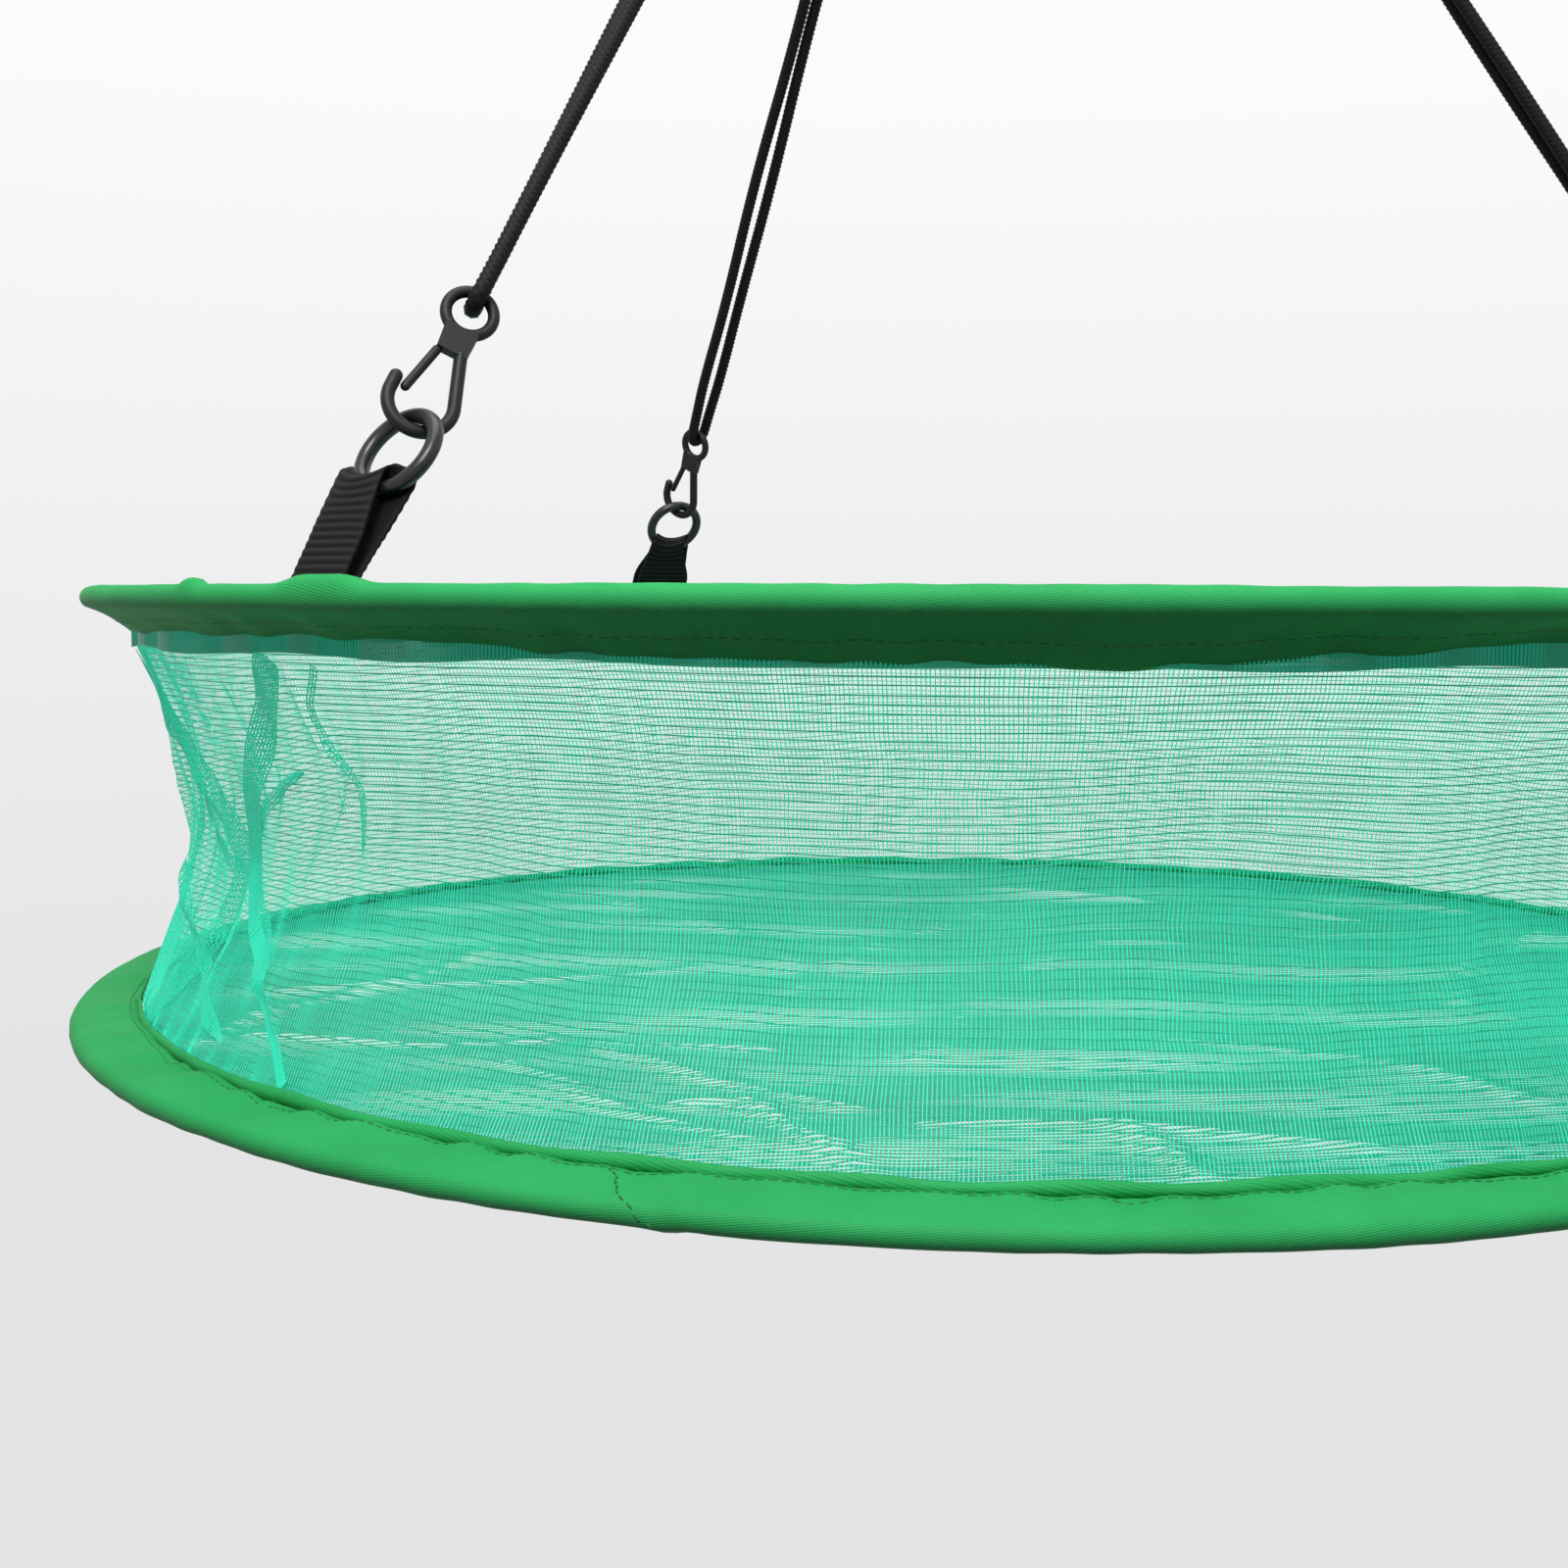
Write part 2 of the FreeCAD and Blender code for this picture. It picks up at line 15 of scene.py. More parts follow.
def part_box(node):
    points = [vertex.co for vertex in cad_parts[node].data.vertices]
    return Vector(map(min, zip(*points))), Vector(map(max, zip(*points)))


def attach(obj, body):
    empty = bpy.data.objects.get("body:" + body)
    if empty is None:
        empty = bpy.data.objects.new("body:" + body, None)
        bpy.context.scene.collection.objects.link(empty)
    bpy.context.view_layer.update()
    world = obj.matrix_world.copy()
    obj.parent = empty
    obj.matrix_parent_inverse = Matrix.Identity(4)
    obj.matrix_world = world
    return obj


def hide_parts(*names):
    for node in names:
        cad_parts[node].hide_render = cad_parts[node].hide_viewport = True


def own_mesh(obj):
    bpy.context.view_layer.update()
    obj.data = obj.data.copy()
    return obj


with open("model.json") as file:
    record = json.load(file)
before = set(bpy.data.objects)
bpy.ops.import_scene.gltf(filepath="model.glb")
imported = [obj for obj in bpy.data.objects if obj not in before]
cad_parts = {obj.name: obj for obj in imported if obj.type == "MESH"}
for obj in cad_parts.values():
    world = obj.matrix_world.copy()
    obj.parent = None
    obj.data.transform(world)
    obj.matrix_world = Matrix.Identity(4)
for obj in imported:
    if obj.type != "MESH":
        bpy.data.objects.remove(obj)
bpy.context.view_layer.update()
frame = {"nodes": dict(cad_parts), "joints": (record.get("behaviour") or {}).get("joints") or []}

bl_info = {
    "name": "Hanging Net Tray",
    "version": (1, 0, 0),
    "blender": (4, 5, 0),
    "location": "3D View > Sidebar > Net Tray",
    "description": "Builds the netting, bindings, tabs and cords of a round hanging net tray",
    "category": "Add Mesh",
}

TURN = 2 * math.pi

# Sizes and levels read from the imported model.
TOP_LOW, TOP_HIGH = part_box("top_hoop_wire")
BOTTOM_LOW, BOTTOM_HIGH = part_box("bottom_hoop_wire")
WIRE_RADIUS = (TOP_HIGH.z - TOP_LOW.z) / 2
TOP_RADIUS = TOP_HIGH.x - WIRE_RADIUS
TOP_LEVEL = (TOP_HIGH.z + TOP_LOW.z) / 2
BOTTOM_RADIUS = BOTTOM_HIGH.x - WIRE_RADIUS
BOTTOM_LEVEL = (BOTTOM_HIGH.z + BOTTOM_LOW.z) / 2
WALL_LOW, WALL_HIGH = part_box("side_mesh")
WALL_TALL = WALL_HIGH.z - WALL_LOW.z
FLOOR_LOW, FLOOR_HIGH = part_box("floor_mesh")
FLOOR_RADIUS = FLOOR_HIGH.x
FLOOR_LEVEL = (FLOOR_LOW.z + FLOOR_HIGH.z) / 2
KNOT_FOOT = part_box("top_knot")[0].z
CHAINS = (1, 2, 3)

# The wall's radius where it is sewn on, and how far down it, as a share, it is narrowest.
WALL_RADIUS = 0.2785
WALL_WAIST = 0.52
# The headings of the floor's round threads and of its wrinkles, in degrees about +Z from +X.
FLOOR_GRAIN = -20.05
WRINKLE_HEADING = 64.95
# How far inside its wire the top binding's lower edge has its outer face, its fold and its inner face.
BAND_FACES = (0.0117, 0.0124, 0.0130)
# The bottom binding's inner edge from its wire, as (outward, up): its upper face, its fold and its lower face.
RIM_FACES = ((-0.0170, 0.0043), (-0.0179, 0.0036), (-0.0172, 0.0027))
# Where each binding's cloth bears on its wire's sleeve, in degrees about the wire.
BAND_WRAP = (-58, -38, -15, 10, 35, 60, 85, 110, 135, 155)
RIM_WRAP = (82, 62, 40, 18, -5, -28, -52, -78, -104, -128)
# How much each point of a binding's section gathers.
BAND_GATHERS = (0.2, 0.2, 0.3, 0.4, 0.4, 0.3, *[0.10] * 10, 0.3, 0.4, 0.3, 0.2, 0.2)
RIM_GATHERS = (0.5, 0.8, 1.0, 1.0, 1.0, 0.9, 0.7, 0.5, *[0.15] * 10, 0.5, 0.7, 0.9, 1.0, 1.0, 0.8, 0.5)
BINDING_STEPS = 720
# The widths that the two bindings' cloth was cut to.
BAND_CUT, RIM_CUT = 0.048, 0.050
# The slanted join in the bottom binding, in degrees: where it starts on the cloth's fold, and how far round it runs.
JOIN_START, JOIN_SLANT = 222.6, 5.0
# How far each tab's foot is gathered in, and how far the tab sits to one side of its ring.
TAB_GATHER = {1: 1.0, 2: 0.72, 3: 0.9}
TAB_OFFSET = {1: 0.0, 2: 0.0030, 3: -0.0008}
# The tab rings' mean radius and their wire's, and the hanging ring's loops of cord, side by side.
TAB_RING_RADIUS, TAB_RING_WIRE = 0.011, 0.002
LOOP_PLACES = (-0.0048, 0.0, 0.0048)

# Painted light: how strongly each sort of netting glows, standing for the light that comes through it and for the soft
# light from all round.
NETTING_PAINTED_GLOWS = {"green_wall_netting": 0.58, "green_floor_netting": 0.20, "green_doubled_netting": 0.42}
LIT_THREAD = (0.02, 0.66, 0.42, 1)
LIT_TWILL = (0.04, 0.56, 0.16, 1)
CLOTH_SHEEN = (0.6, 1.0, 0.65, 1)
# Painted shade in the grooves between the webbing's ribs.
RIB_SHADE = (0.002, 0.002, 0.0025, 1)
# Painted shade in the grooves between the cord's braided strands.
BRAID_SHADE = (0.0015, 0.0015, 0.0015, 1)
WORN_COATING = (0.03, 0.029, 0.033, 1)
WIRE_GREY = (0.40, 0.40, 0.41)
FERRULE_GREY = (0.70, 0.70, 0.71)

# The backdrop bowl: its flat floor's level and radius, and its cove's radius and height.
BOWL_LEVEL, BOWL_FLAT, BOWL_COVE, BOWL_TOP = -1.30, 2.0, 1.0, 3.4
SKY_STRENGTH = 0.026
# The lights, as (place, size, power).
SOFTBOXES = {
    "overhead_softbox": ((0.0, 0.0, 1.9), 2.2, 31),
    "key_softbox": ((-0.75, -1.05, 0.70), 0.8, 28),
    "fill_softbox": ((0.9, -1.7, -0.1), 1.2, 0.4),
}
CAMERA_PLACE = (-0.3587, -0.6099, -0.4635)
CAMERA_LENS = 46.43
# The camera's heading from +Y towards +X, its pitch downwards and its roll, in radians.
CAMERA_TURNS = (math.radians(25.05), 0.0887, 0.005)

# Each cord's route in one piece: down from the knot, round its hook's eye and up again.
CORD_ROUTES = {
    1: (
        (0.0023, 0.0042, -0.0415), (0.0021, 0.0347, -0.0865), (0.0010, 0.0692, -0.1356),
        (0.0008, 0.1025, -0.1867), (-0.0004, 0.1377, -0.2366), (-0.0001, 0.1706, -0.2868),
        (-0.0003, 0.2037, -0.3319), (-0.0004, 0.2251, -0.3634), (-0.0013, 0.2368, -0.3796),
        (-0.0016, 0.2435, -0.3895), (-0.0085, 0.2403, -0.3916), (-0.0086, 0.2338, -0.3815),
        (-0.0091, 0.2234, -0.3656), (-0.0077, 0.2024, -0.3352), (-0.0075, 0.1731, -0.2886),
        (-0.0053, 0.1380, -0.2387), (-0.0049, 0.1044, -0.1877), (-0.0041, 0.0692, -0.1380),
        (-0.0032, 0.0356, -0.0870), (-0.0025, 0.0041, -0.0415),
    ),
    2: (
        (-0.0048, 0.0001, -0.0415), (-0.0328, -0.0149, -0.0880), (-0.0629, -0.0310, -0.1386),
        (-0.0934, -0.0476, -0.1888), (-0.1233, -0.0636, -0.2395), (-0.1528, -0.0795, -0.2892),
        (-0.1801, -0.0944, -0.3358), (-0.1982, -0.1037, -0.3668), (-0.2070, -0.1078, -0.3819),
        (-0.2127, -0.1110, -0.3919), (-0.2133, -0.1184, -0.3891), (-0.2072, -0.1152, -0.3794),
        (-0.1983, -0.1097, -0.3647), (-0.1797, -0.0992, -0.3345), (-0.1511, -0.0842, -0.2887),
        (-0.1216, -0.0682, -0.2390), (-0.0910, -0.0518, -0.1889), (-0.0609, -0.0355, -0.1383),
        (-0.0304, -0.0192, -0.0881), (-0.0025, -0.0041, -0.0415),
    ),
    3: (
        (0.0024, -0.0042, -0.0415), (0.0298, -0.0200, -0.0869), (0.0587, -0.0369, -0.1367),
        (0.0891, -0.0541, -0.1868), (0.1180, -0.0714, -0.2376), (0.1479, -0.0885, -0.2867),
        (0.1746, -0.1046, -0.3333), (0.1937, -0.1160, -0.3641), (0.2026, -0.1214, -0.3800),
        (0.2084, -0.1247, -0.3899), (0.2107, -0.1173, -0.3911), (0.2050, -0.1139, -0.3812),
        (0.1949, -0.1081, -0.3649), (0.1770, -0.0985, -0.3328), (0.1500, -0.0832, -0.2885),
        (0.1208, -0.0671, -0.2386), (0.0909, -0.0493, -0.1885), (0.0609, -0.0326, -0.1369),
        (0.0315, -0.0152, -0.0875), (0.0048, 0.0000, -0.0415),
    ),
}

# How far the top binding's cloth reaches below its wire, round the hoop: (azimuth in degrees, metres).
BAND_DROPS = (
    (0, 0.0130), (40, 0.0120), (90, 0.0132), (130, 0.0124), (160, 0.0112), (188, 0.0096), (211, 0.0097),
    (221, 0.0124), (235, 0.0136), (249, 0.0139), (257, 0.0112), (265, 0.0090), (281, 0.0112), (303, 0.0132),
    (332, 0.0120),
)

# Folds in the wall: (azimuth in degrees, share of the way down) of each end, then height and half width in metres.
WALL_FOLDS = (
    (180.5, 0.09, 182.4, 0.27, 0.0042, 0.0040),
    (182.4, 0.27, 184.9, 0.40, 0.0036, 0.0035),
    (176.5, 0.05, 172.0, 0.50, 0.0035, 0.0060),
    (201.1, 0.03, 201.2, 0.18, 0.0032, 0.0028),
    (201.2, 0.18, 203.0, 0.27, 0.0034, 0.0026),
    (203.0, 0.27, 201.6, 0.38, 0.0026, 0.0026),
    (194.6, 0.35, 198.8, 0.28, 0.0020, 0.0024),
    (188.0, 0.52, 184.0, 0.92, -0.0045, 0.0075),
    (172.8, 0.61, 190.9, 0.81, 0.0040, 0.0045),
    (190.9, 0.81, 202.0, 0.76, 0.0030, 0.0040),
    (181.0, 0.67, 188.1, 0.76, -0.0030, 0.0030),
    (195.8, 0.77, 200.1, 0.92, 0.0022, 0.0022),
    (253.1, 0.30, 256.5, 0.41, 0.0022, 0.0022),
    (262.0, 0.06, 269.0, 0.30, -0.0028, 0.0070),
    (268.0, 0.02, 250.0, 0.12, 0.0030, 0.0045),
    (20.0, 0.05, 28.0, 0.55, 0.0034, 0.0050),
    (36.0, 0.50, 30.0, 0.95, -0.0034, 0.0060),
    (88.0, 0.04, 81.0, 0.50, 0.0036, 0.0050),
    (95.0, 0.04, 103.0, 0.45, 0.0034, 0.0045),
    (128.0, 0.45, 136.0, 0.92, 0.0032, 0.0050),
    (152.0, 0.10, 149.0, 0.70, -0.0034, 0.0060),
    (296.0, 0.12, 304.0, 0.62, 0.0034, 0.0050),
    (327.0, 0.03, 319.0, 0.50, 0.0036, 0.0045),
    (334.0, 0.03, 342.0, 0.42, 0.0034, 0.0050),
)

# Lines on the wall: (azimuth in degrees, share of the way down, half width in metres) at each stop.
LAP_SEAM = (
    (200.2, 0.01, 0.0042), (198.2, 0.10, 0.0044), (194.6, 0.24, 0.0050), (191.6, 0.36, 0.0054),
    (190.0, 0.47, 0.0050), (190.2, 0.60, 0.0036), (193.4, 0.75, 0.0022), (197.6, 0.86, 0.0017),
    (200.9, 0.98, 0.0014),
)
WALL_TUCKS = (
    ((179.5, 0.02, 0.0020), (180.4, 0.12, 0.0032), (182.4, 0.26, 0.0046), (186.0, 0.40, 0.0056),
     (188.0, 0.52, 0.0056), (186.5, 0.66, 0.0056), (182.6, 0.82, 0.0058), (178.0, 0.985, 0.0052)),
    ((204.0, 0.03, 0.0009), (201.9, 0.12, 0.0010), (202.4, 0.22, 0.0012), (204.3, 0.30, 0.0012),
     (203.8, 0.38, 0.0009), (203.0, 0.46, 0.0005)),
    ((190.0, 0.47, 0.0014), (193.4, 0.38, 0.0016), (196.4, 0.32, 0.0011), (198.8, 0.28, 0.0006)),
    ((189.6, 0.52, 0.0024), (192.6, 0.66, 0.0024), (196.4, 0.82, 0.0016), (200.4, 0.97, 0.0008)),
    ((172.0, 0.03, 0.0020), (174.0, 0.18, 0.0026), (178.0, 0.36, 0.0030), (183.5, 0.50, 0.0026),
     (190.0, 0.60, 0.0016)),
    ((174.0, 0.58, 0.0020), (180.0, 0.70, 0.0026), (186.0, 0.84, 0.0028), (193.0, 0.94, 0.0018)),
)
# Folds in the floor: points along each as (x, y), then height and half width in metres.
FLOOR_FOLDS = (
    (((-0.268, -0.020), (-0.241, 0.019), (-0.196, 0.047), (-0.136, 0.106)), 0.00154, 0.00375),
    (((-0.251, -0.019), (-0.210, -0.048), (-0.174, -0.052), (-0.125, -0.093)), 0.00154, 0.00350),
    (((-0.194, -0.080), (-0.184, -0.138), (-0.170, -0.180)), 0.00126, 0.00325),
    (((-0.174, -0.052), (-0.149, -0.122), (-0.132, -0.161)), 0.00126, 0.00375),
    (((-0.167, -0.141), (-0.151, -0.143), (-0.154, -0.184), (-0.154, -0.220)), 0.00168, 0.00400),
    (((-0.080, -0.206), (-0.083, -0.234), (-0.088, -0.252)), 0.00154, 0.00450),
    (((-0.088, -0.121), (0.007, -0.013), (0.070, 0.027), (0.098, 0.015)), 0.00105, 0.00750),
    (((-0.122, -0.188), (-0.080, -0.206), (-0.038, -0.249)), 0.00140, 0.00350),
    (((-0.227, 0.050), (-0.157, 0.038), (-0.092, 0.040)), 0.00105, 0.00425),
    (((-0.080, -0.015), (-0.005, 0.059), (0.067, 0.108)), 0.00084, 0.00500),
    (((-0.065, 0.195), (-0.043, 0.101), (-0.061, -0.004)), 0.00084, 0.00625),
    (((-0.007, -0.129), (0.029, -0.173), (0.035, -0.225)), 0.00112, 0.00500),
    (((0.110, -0.120), (0.170, -0.060), (0.240, -0.030)), 0.00112, 0.00500),
    (((0.060, 0.190), (0.150, 0.120), (0.200, 0.030)), 0.00098, 0.00500),
)


# ---------------------------------------------------------------------------------------------------------------------
# Settings that a user would change


def length_setting(name, description, default):
    return bpy.props.FloatProperty(name=name, description=description, default=default, unit="LENGTH")


class NettingSettings(bpy.types.PropertyGroup):
    pitch: length_setting("Thread Pitch", "Distance between neighbouring threads", 0.0021)
    up_pitch: length_setting("Upright Pitch", "Distance between neighbouring upright threads", 0.00105)
    width: length_setting("Thread Width", "Width of a thread that runs round the wall", 0.00036)
    height: length_setting("Thread Height", "How far a wall thread stands proud", 0.00016)
    floor_height: length_setting("Floor Thread Height", "How far a floor thread stands proud", 0.00046)
    up_gauge: bpy.props.FloatProperty(
        name="Upright Gauge", description="Size of the crossing threads beside the others", default=0.68,
        subtype="FACTOR",
    )
    waist: length_setting("Waist", "How far the wall pulls in at its middle", 0.0195)
    wrinkle: length_setting("Floor Wrinkle", "Height of the floor's wrinkles", 0.0007)


class BindingSettings(bpy.types.PropertyGroup):
    sleeve: length_setting("Sleeve Radius", "Outside radius of the cloth round the wire", 0.00335)
    pucker: length_setting("Pucker", "Height of the cloth's gathers along its seam", 0.0009)
    stitch_spacing: length_setting("Stitch Spacing", "Distance from stitch to stitch", 0.0031)
    stitch_length: length_setting("Stitch Length", "Length of the thread that shows", 0.0023)
    stitch_radius: length_setting("Stitch Radius", "Radius of the sewing thread", 0.00017)


class ChainSettings(bpy.types.PropertyGroup):
    webbing_width: length_setting("Webbing Width", "Width of a tab where it is sewn on", 0.025)
    webbing_neck: length_setting("Webbing Neck", "Width of a tab where it goes round its ring", 0.0158)
    webbing_thickness: length_setting("Webbing Thickness", "Thickness of one layer", 0.0014)
    rib_pitch: length_setting("Rib Pitch", "Distance between the webbing's ribs", 0.00228)
    cord_length: length_setting("Cord Length", "Length of each cord, from the knot round the hook and back", 0.85)
    cord_diameter: length_setting("Cord Diameter", "Diameter of the braided cord", 0.0045)
    braid_pitch: length_setting("Braid Pitch", "Distance between the braid's bumps along the cord", 0.0019)


def colour_setting(name, description, default):
    return bpy.props.FloatVectorProperty(
        name=name, description=description, default=default, size=3, min=0, max=1, subtype="COLOR"
    )


class ColourSettings(bpy.types.PropertyGroup):
    weft: colour_setting("Round Threads", "Colour of the threads that run round the wall", (0.0, 0.29, 0.17))
    warp: colour_setting("Upright Threads", "Colour of the threads that cross them", (0.012, 0.62, 0.40))
    cloth: colour_setting("Binding", "Colour of the binding's cloth", (0.016, 0.40, 0.105))
    cloth_shade: colour_setting("Binding Shade", "Colour of the cloth's deeper threads", (0.008, 0.31, 0.070))
    webbing: colour_setting("Webbing", "Colour of the tabs", (0.010, 0.0095, 0.0105))
    cord: colour_setting("Cord", "Colour of the braided cord", (0.007, 0.0065, 0.007))
    plastic: colour_setting("Hooks", "Colour of the moulded hooks", (0.009, 0.0085, 0.0095))
    painted: colour_setting("Tab Rings", "Colour of the tabs' rings", (0.008, 0.008, 0.010))
    steel: colour_setting("Hanging Ring", "Colour of the bright steel", (0.62, 0.62, 0.61))
    backdrop: colour_setting("Backdrop", "Colour of the backdrop", (0.86, 0.86, 0.87))


# ---------------------------------------------------------------------------------------------------------------------
# Node trees


def socket_named(sockets, name):
    """The socket with that identifier, or else with that name."""
    return next((s for s in sockets if s.identifier == name), None) or sockets[name]


def rgba(colour, factor=1.0):
    return (*(factor * c for c in colour[:3]), 1.0)


class Value:
    """A node's number output. Arithmetic on it adds Math nodes to its tree."""

    def __init__(self, tree, socket):
        self.tree = tree
        self.socket = socket

    def math(self, operation, *terms):
        inputs = dict(zip(("Value", "Value_001", "Value_002"), terms))
        return self.tree.value("ShaderNodeMath", {"operation": operation}, inputs, "Value")

    def __add__(self, other):
        return self.math("ADD", self, other)

    def __radd__(self, other):
        return self.math("ADD", other, self)

    def __sub__(self, other):
        return self.math("SUBTRACT", self, other)

    def __rsub__(self, other):
        return self.math("SUBTRACT", other, self)

    def __mul__(self, other):
        return self.math("MULTIPLY", self, other)

    def __rmul__(self, other):
        return self.math("MULTIPLY", other, self)

    def sine(self):
        return self.math("SINE", self)

    def limited(self):
        """The value held between 0 and 1."""
        return self.math("MINIMUM", self.math("MAXIMUM", self, 0.0), 1.0)


class Tree:
    """A node tree, and the one way in which nodes are added to it."""

    def __init__(self, tree):
        self.tree = tree

    def node(self, kind, settings=None, inputs=None):
        node = self.tree.nodes.new(kind)
        for name, value in (settings or {}).items():
            setattr(node, name, value)
        for name, value in (inputs or {}).items():
            socket = socket_named(node.inputs, name)
            value = value.socket if isinstance(value, Value) else value
            if isinstance(value, bpy.types.NodeSocket):
                self.tree.links.new(value, socket)
            else:
                socket.default_value = value
        return node

    def output(self, kind, settings=None, inputs=None, name=None):
        outputs = self.node(kind, settings, inputs).outputs
        return outputs[0] if name is None else socket_named(outputs, name)

    def value(self, kind, settings=None, inputs=None, name=None):
        return Value(self, self.output(kind, settings, inputs, name))


class Finish(Tree):
    """A material's tree, which ends in one Principled BSDF."""

    def __init__(self, name):
        self.material = bpy.data.materials.new(name)
        self.material.use_nodes = True
        self.material.node_tree.nodes.clear()
        super().__init__(self.material.node_tree)

    def position(self):
        return self.output("ShaderNodeTexCoord", name="Object")

    def attribute(self, name):
        return self.value("ShaderNodeAttribute", {"attribute_name": name}, name="Fac")

    def noise(self, scale, detail=2.0, vector=None):
        place = self.position() if vector is None else vector
        return self.value("ShaderNodeTexNoise", inputs={"Vector": place, "Scale": scale, "Detail": detail})

    def blend(self, factor, first, second):
        inputs = {"Factor_Float": factor, "A_Color": first, "B_Color": second}
        return self.output("ShaderNodeMix", {"data_type": "RGBA"}, inputs, "Result_Color")

    def bump(self, height, strength, distance):
        return self.output("ShaderNodeBump", inputs={"Height": height, "Strength": strength, "Distance": distance})

    def surface(self, **inputs):
        named = {name.replace("_", " "): value for name, value in inputs.items()}
        shader = self.output("ShaderNodeBsdfPrincipled", inputs=named, name="BSDF")
        self.node("ShaderNodeOutputMaterial", inputs={"Surface": shader})
        return self.material


def node_group(name, sockets):
    """A Geometry Nodes tree with a mesh input and the named inputs, and its input node."""
    group = bpy.data.node_groups.new(name, "GeometryNodeTree")
    group.interface.new_socket("Geometry", in_out="OUTPUT", socket_type="NodeSocketGeometry")
    group.interface.new_socket("Geometry", in_out="INPUT", socket_type="NodeSocketGeometry")
    for title, kind in sockets.items():
        group.interface.new_socket(title, in_out="INPUT", socket_type=kind)
    tree = Tree(group)
    return tree, tree.node("NodeGroupInput")


def end_group(tree, geometry, material):
    """Ends a tree in Realize Instances and Set Material."""
    realized = tree.output("GeometryNodeRealizeInstances", inputs={"Geometry": geometry})
    painted = tree.output("GeometryNodeSetMaterial", inputs={"Geometry": realized, "Material": material})
    tree.node("NodeGroupOutput", inputs={"Geometry": painted})
    return tree.tree


def thread_tree():
    """Sweeps each edge of a path into a thread: a low roof, half its width to each side, with its ridge outward."""
    lengths = {"Thread Width": "NodeSocketFloat", "Thread Height": "NodeSocketFloat"}
    tree, given = node_group("Swept Threads", {**lengths, "Material": "NodeSocketMaterial"})
    vector = {"data_type": "FLOAT_VECTOR"}
    across = tree.output("GeometryNodeInputNamedAttribute", vector, {"Name": "across"}, "Attribute")
    outward = tree.output("GeometryNodeInputNamedAttribute", vector, {"Name": "outward"}, "Attribute")
    gauge = tree.value("GeometryNodeInputNamedAttribute", {"data_type": "FLOAT"}, {"Name": "gauge"}, "Attribute")
    half = Value(tree, given.outputs["Thread Width"]) * gauge * 0.5
    rise = Value(tree, given.outputs["Thread Height"]) * gauge

    def scaled(direction, amount):
        return tree.output("ShaderNodeVectorMath", {"operation": "SCALE"}, {"Vector": direction, "Scale": amount})

    def summed(first, second):
        return tree.output("ShaderNodeVectorMath", {"operation": "ADD"}, {"Vector": first, "Vector_001": second})

    edge = tree.output(
        "GeometryNodeSetPosition", inputs={"Geometry": given.outputs["Geometry"], "Offset": scaled(across, half * -1.0)}
    )
    up_side = tree.node(
        "GeometryNodeExtrudeMesh", {"mode": "EDGES"},
        {"Mesh": edge, "Offset": summed(scaled(across, half), scaled(outward, rise))},
    )
    down_side = tree.node(
        "GeometryNodeExtrudeMesh", {"mode": "EDGES"},
        {
            "Mesh": up_side.outputs["Mesh"],
            "Selection": up_side.outputs["Top"],
            "Offset": summed(scaled(across, half), scaled(outward, rise * -1.0)),
        },
    )
    return end_group(tree, down_side.outputs["Mesh"], given.outputs["Material"])


def stitch_tree():
    """Lays short stitches end to end along a path."""
    names = ("Stitch Spacing", "Stitch Length", "Stitch Radius")
    tree, given = node_group(
        "Stitch Run", {**{name: "NodeSocketFloat" for name in names}, "Material": "NodeSocketMaterial"}
    )
    path = tree.output("GeometryNodeMeshToCurve", inputs={"Mesh": given.outputs["Geometry"]})
    spots = tree.node(
        "GeometryNodeCurveToPoints", {"mode": "LENGTH"}, {"Curve": path, "Length": given.outputs["Stitch Spacing"]}
    )
    ball = tree.output("GeometryNodeMeshUVSphere", inputs={"Segments": 6, "Rings": 4, "Radius": 1.0}, name="Mesh")
    radius = given.outputs["Stitch Radius"]
    reach = Value(tree, given.outputs["Stitch Length"]) * 0.5
    scale = tree.output("ShaderNodeCombineXYZ", inputs={"X": radius, "Y": radius, "Z": reach})
    stitch = tree.output("GeometryNodeTransform", inputs={"Geometry": ball, "Scale": scale})
    row = tree.output(
        "GeometryNodeInstanceOnPoints",
        inputs={"Points": spots.outputs["Points"], "Instance": stitch, "Rotation": spots.outputs["Rotation"]},
    )
    return end_group(tree, row, given.outputs["Material"])


def grown(obj, group, inputs):
    """Runs a Geometry Nodes tree on an object, and keeps the result as its plain mesh."""
    modifier = obj.modifiers.new(group.name, "NODES")
    modifier.node_group = group
    for item in group.interface.items_tree:
        if item.in_out == "INPUT" and item.name in inputs:
            modifier[item.identifier] = inputs[item.name]
    depsgraph = bpy.context.evaluated_depsgraph_get()
    mesh = bpy.data.meshes.new_from_object(
        obj.evaluated_get(depsgraph), preserve_all_data_layers=True, depsgraph=depsgraph
    )
    obj.modifiers.remove(modifier)
    path = obj.data
    obj.data = mesh
    bpy.data.meshes.remove(path)
    if not mesh.polygons:
        raise RuntimeError(f"{obj.name} grew no faces")
    return obj


# ---------------------------------------------------------------------------------------------------------------------
# Mesh helpers


def unit(vectors):
    return vectors / np.maximum(np.linalg.norm(vectors, axis=-1, keepdims=True), 1e-12)


def full_turn(count):
    """Azimuths at an even step, all the way round."""
    return np.arange(count) / count * TURN


def polar(radius, azimuth, level):
    """Points at a distance from the net's axis."""
    return np.stack(np.broadcast_arrays(radius * np.cos(azimuth), radius * np.sin(azimuth), level), -1)


def arc(azimuth, centre, radius):
    """The distance round from one azimuth to others, the shorter way, at a radius."""
    return (np.mod(azimuth - centre + math.pi, TURN) - math.pi) * radius


def chained(count, closed):
    """The edges that join points in their order."""
    numbers = np.arange(count)
    return np.stack([numbers, np.roll(numbers, -1)], -1)[: count if closed else count - 1]


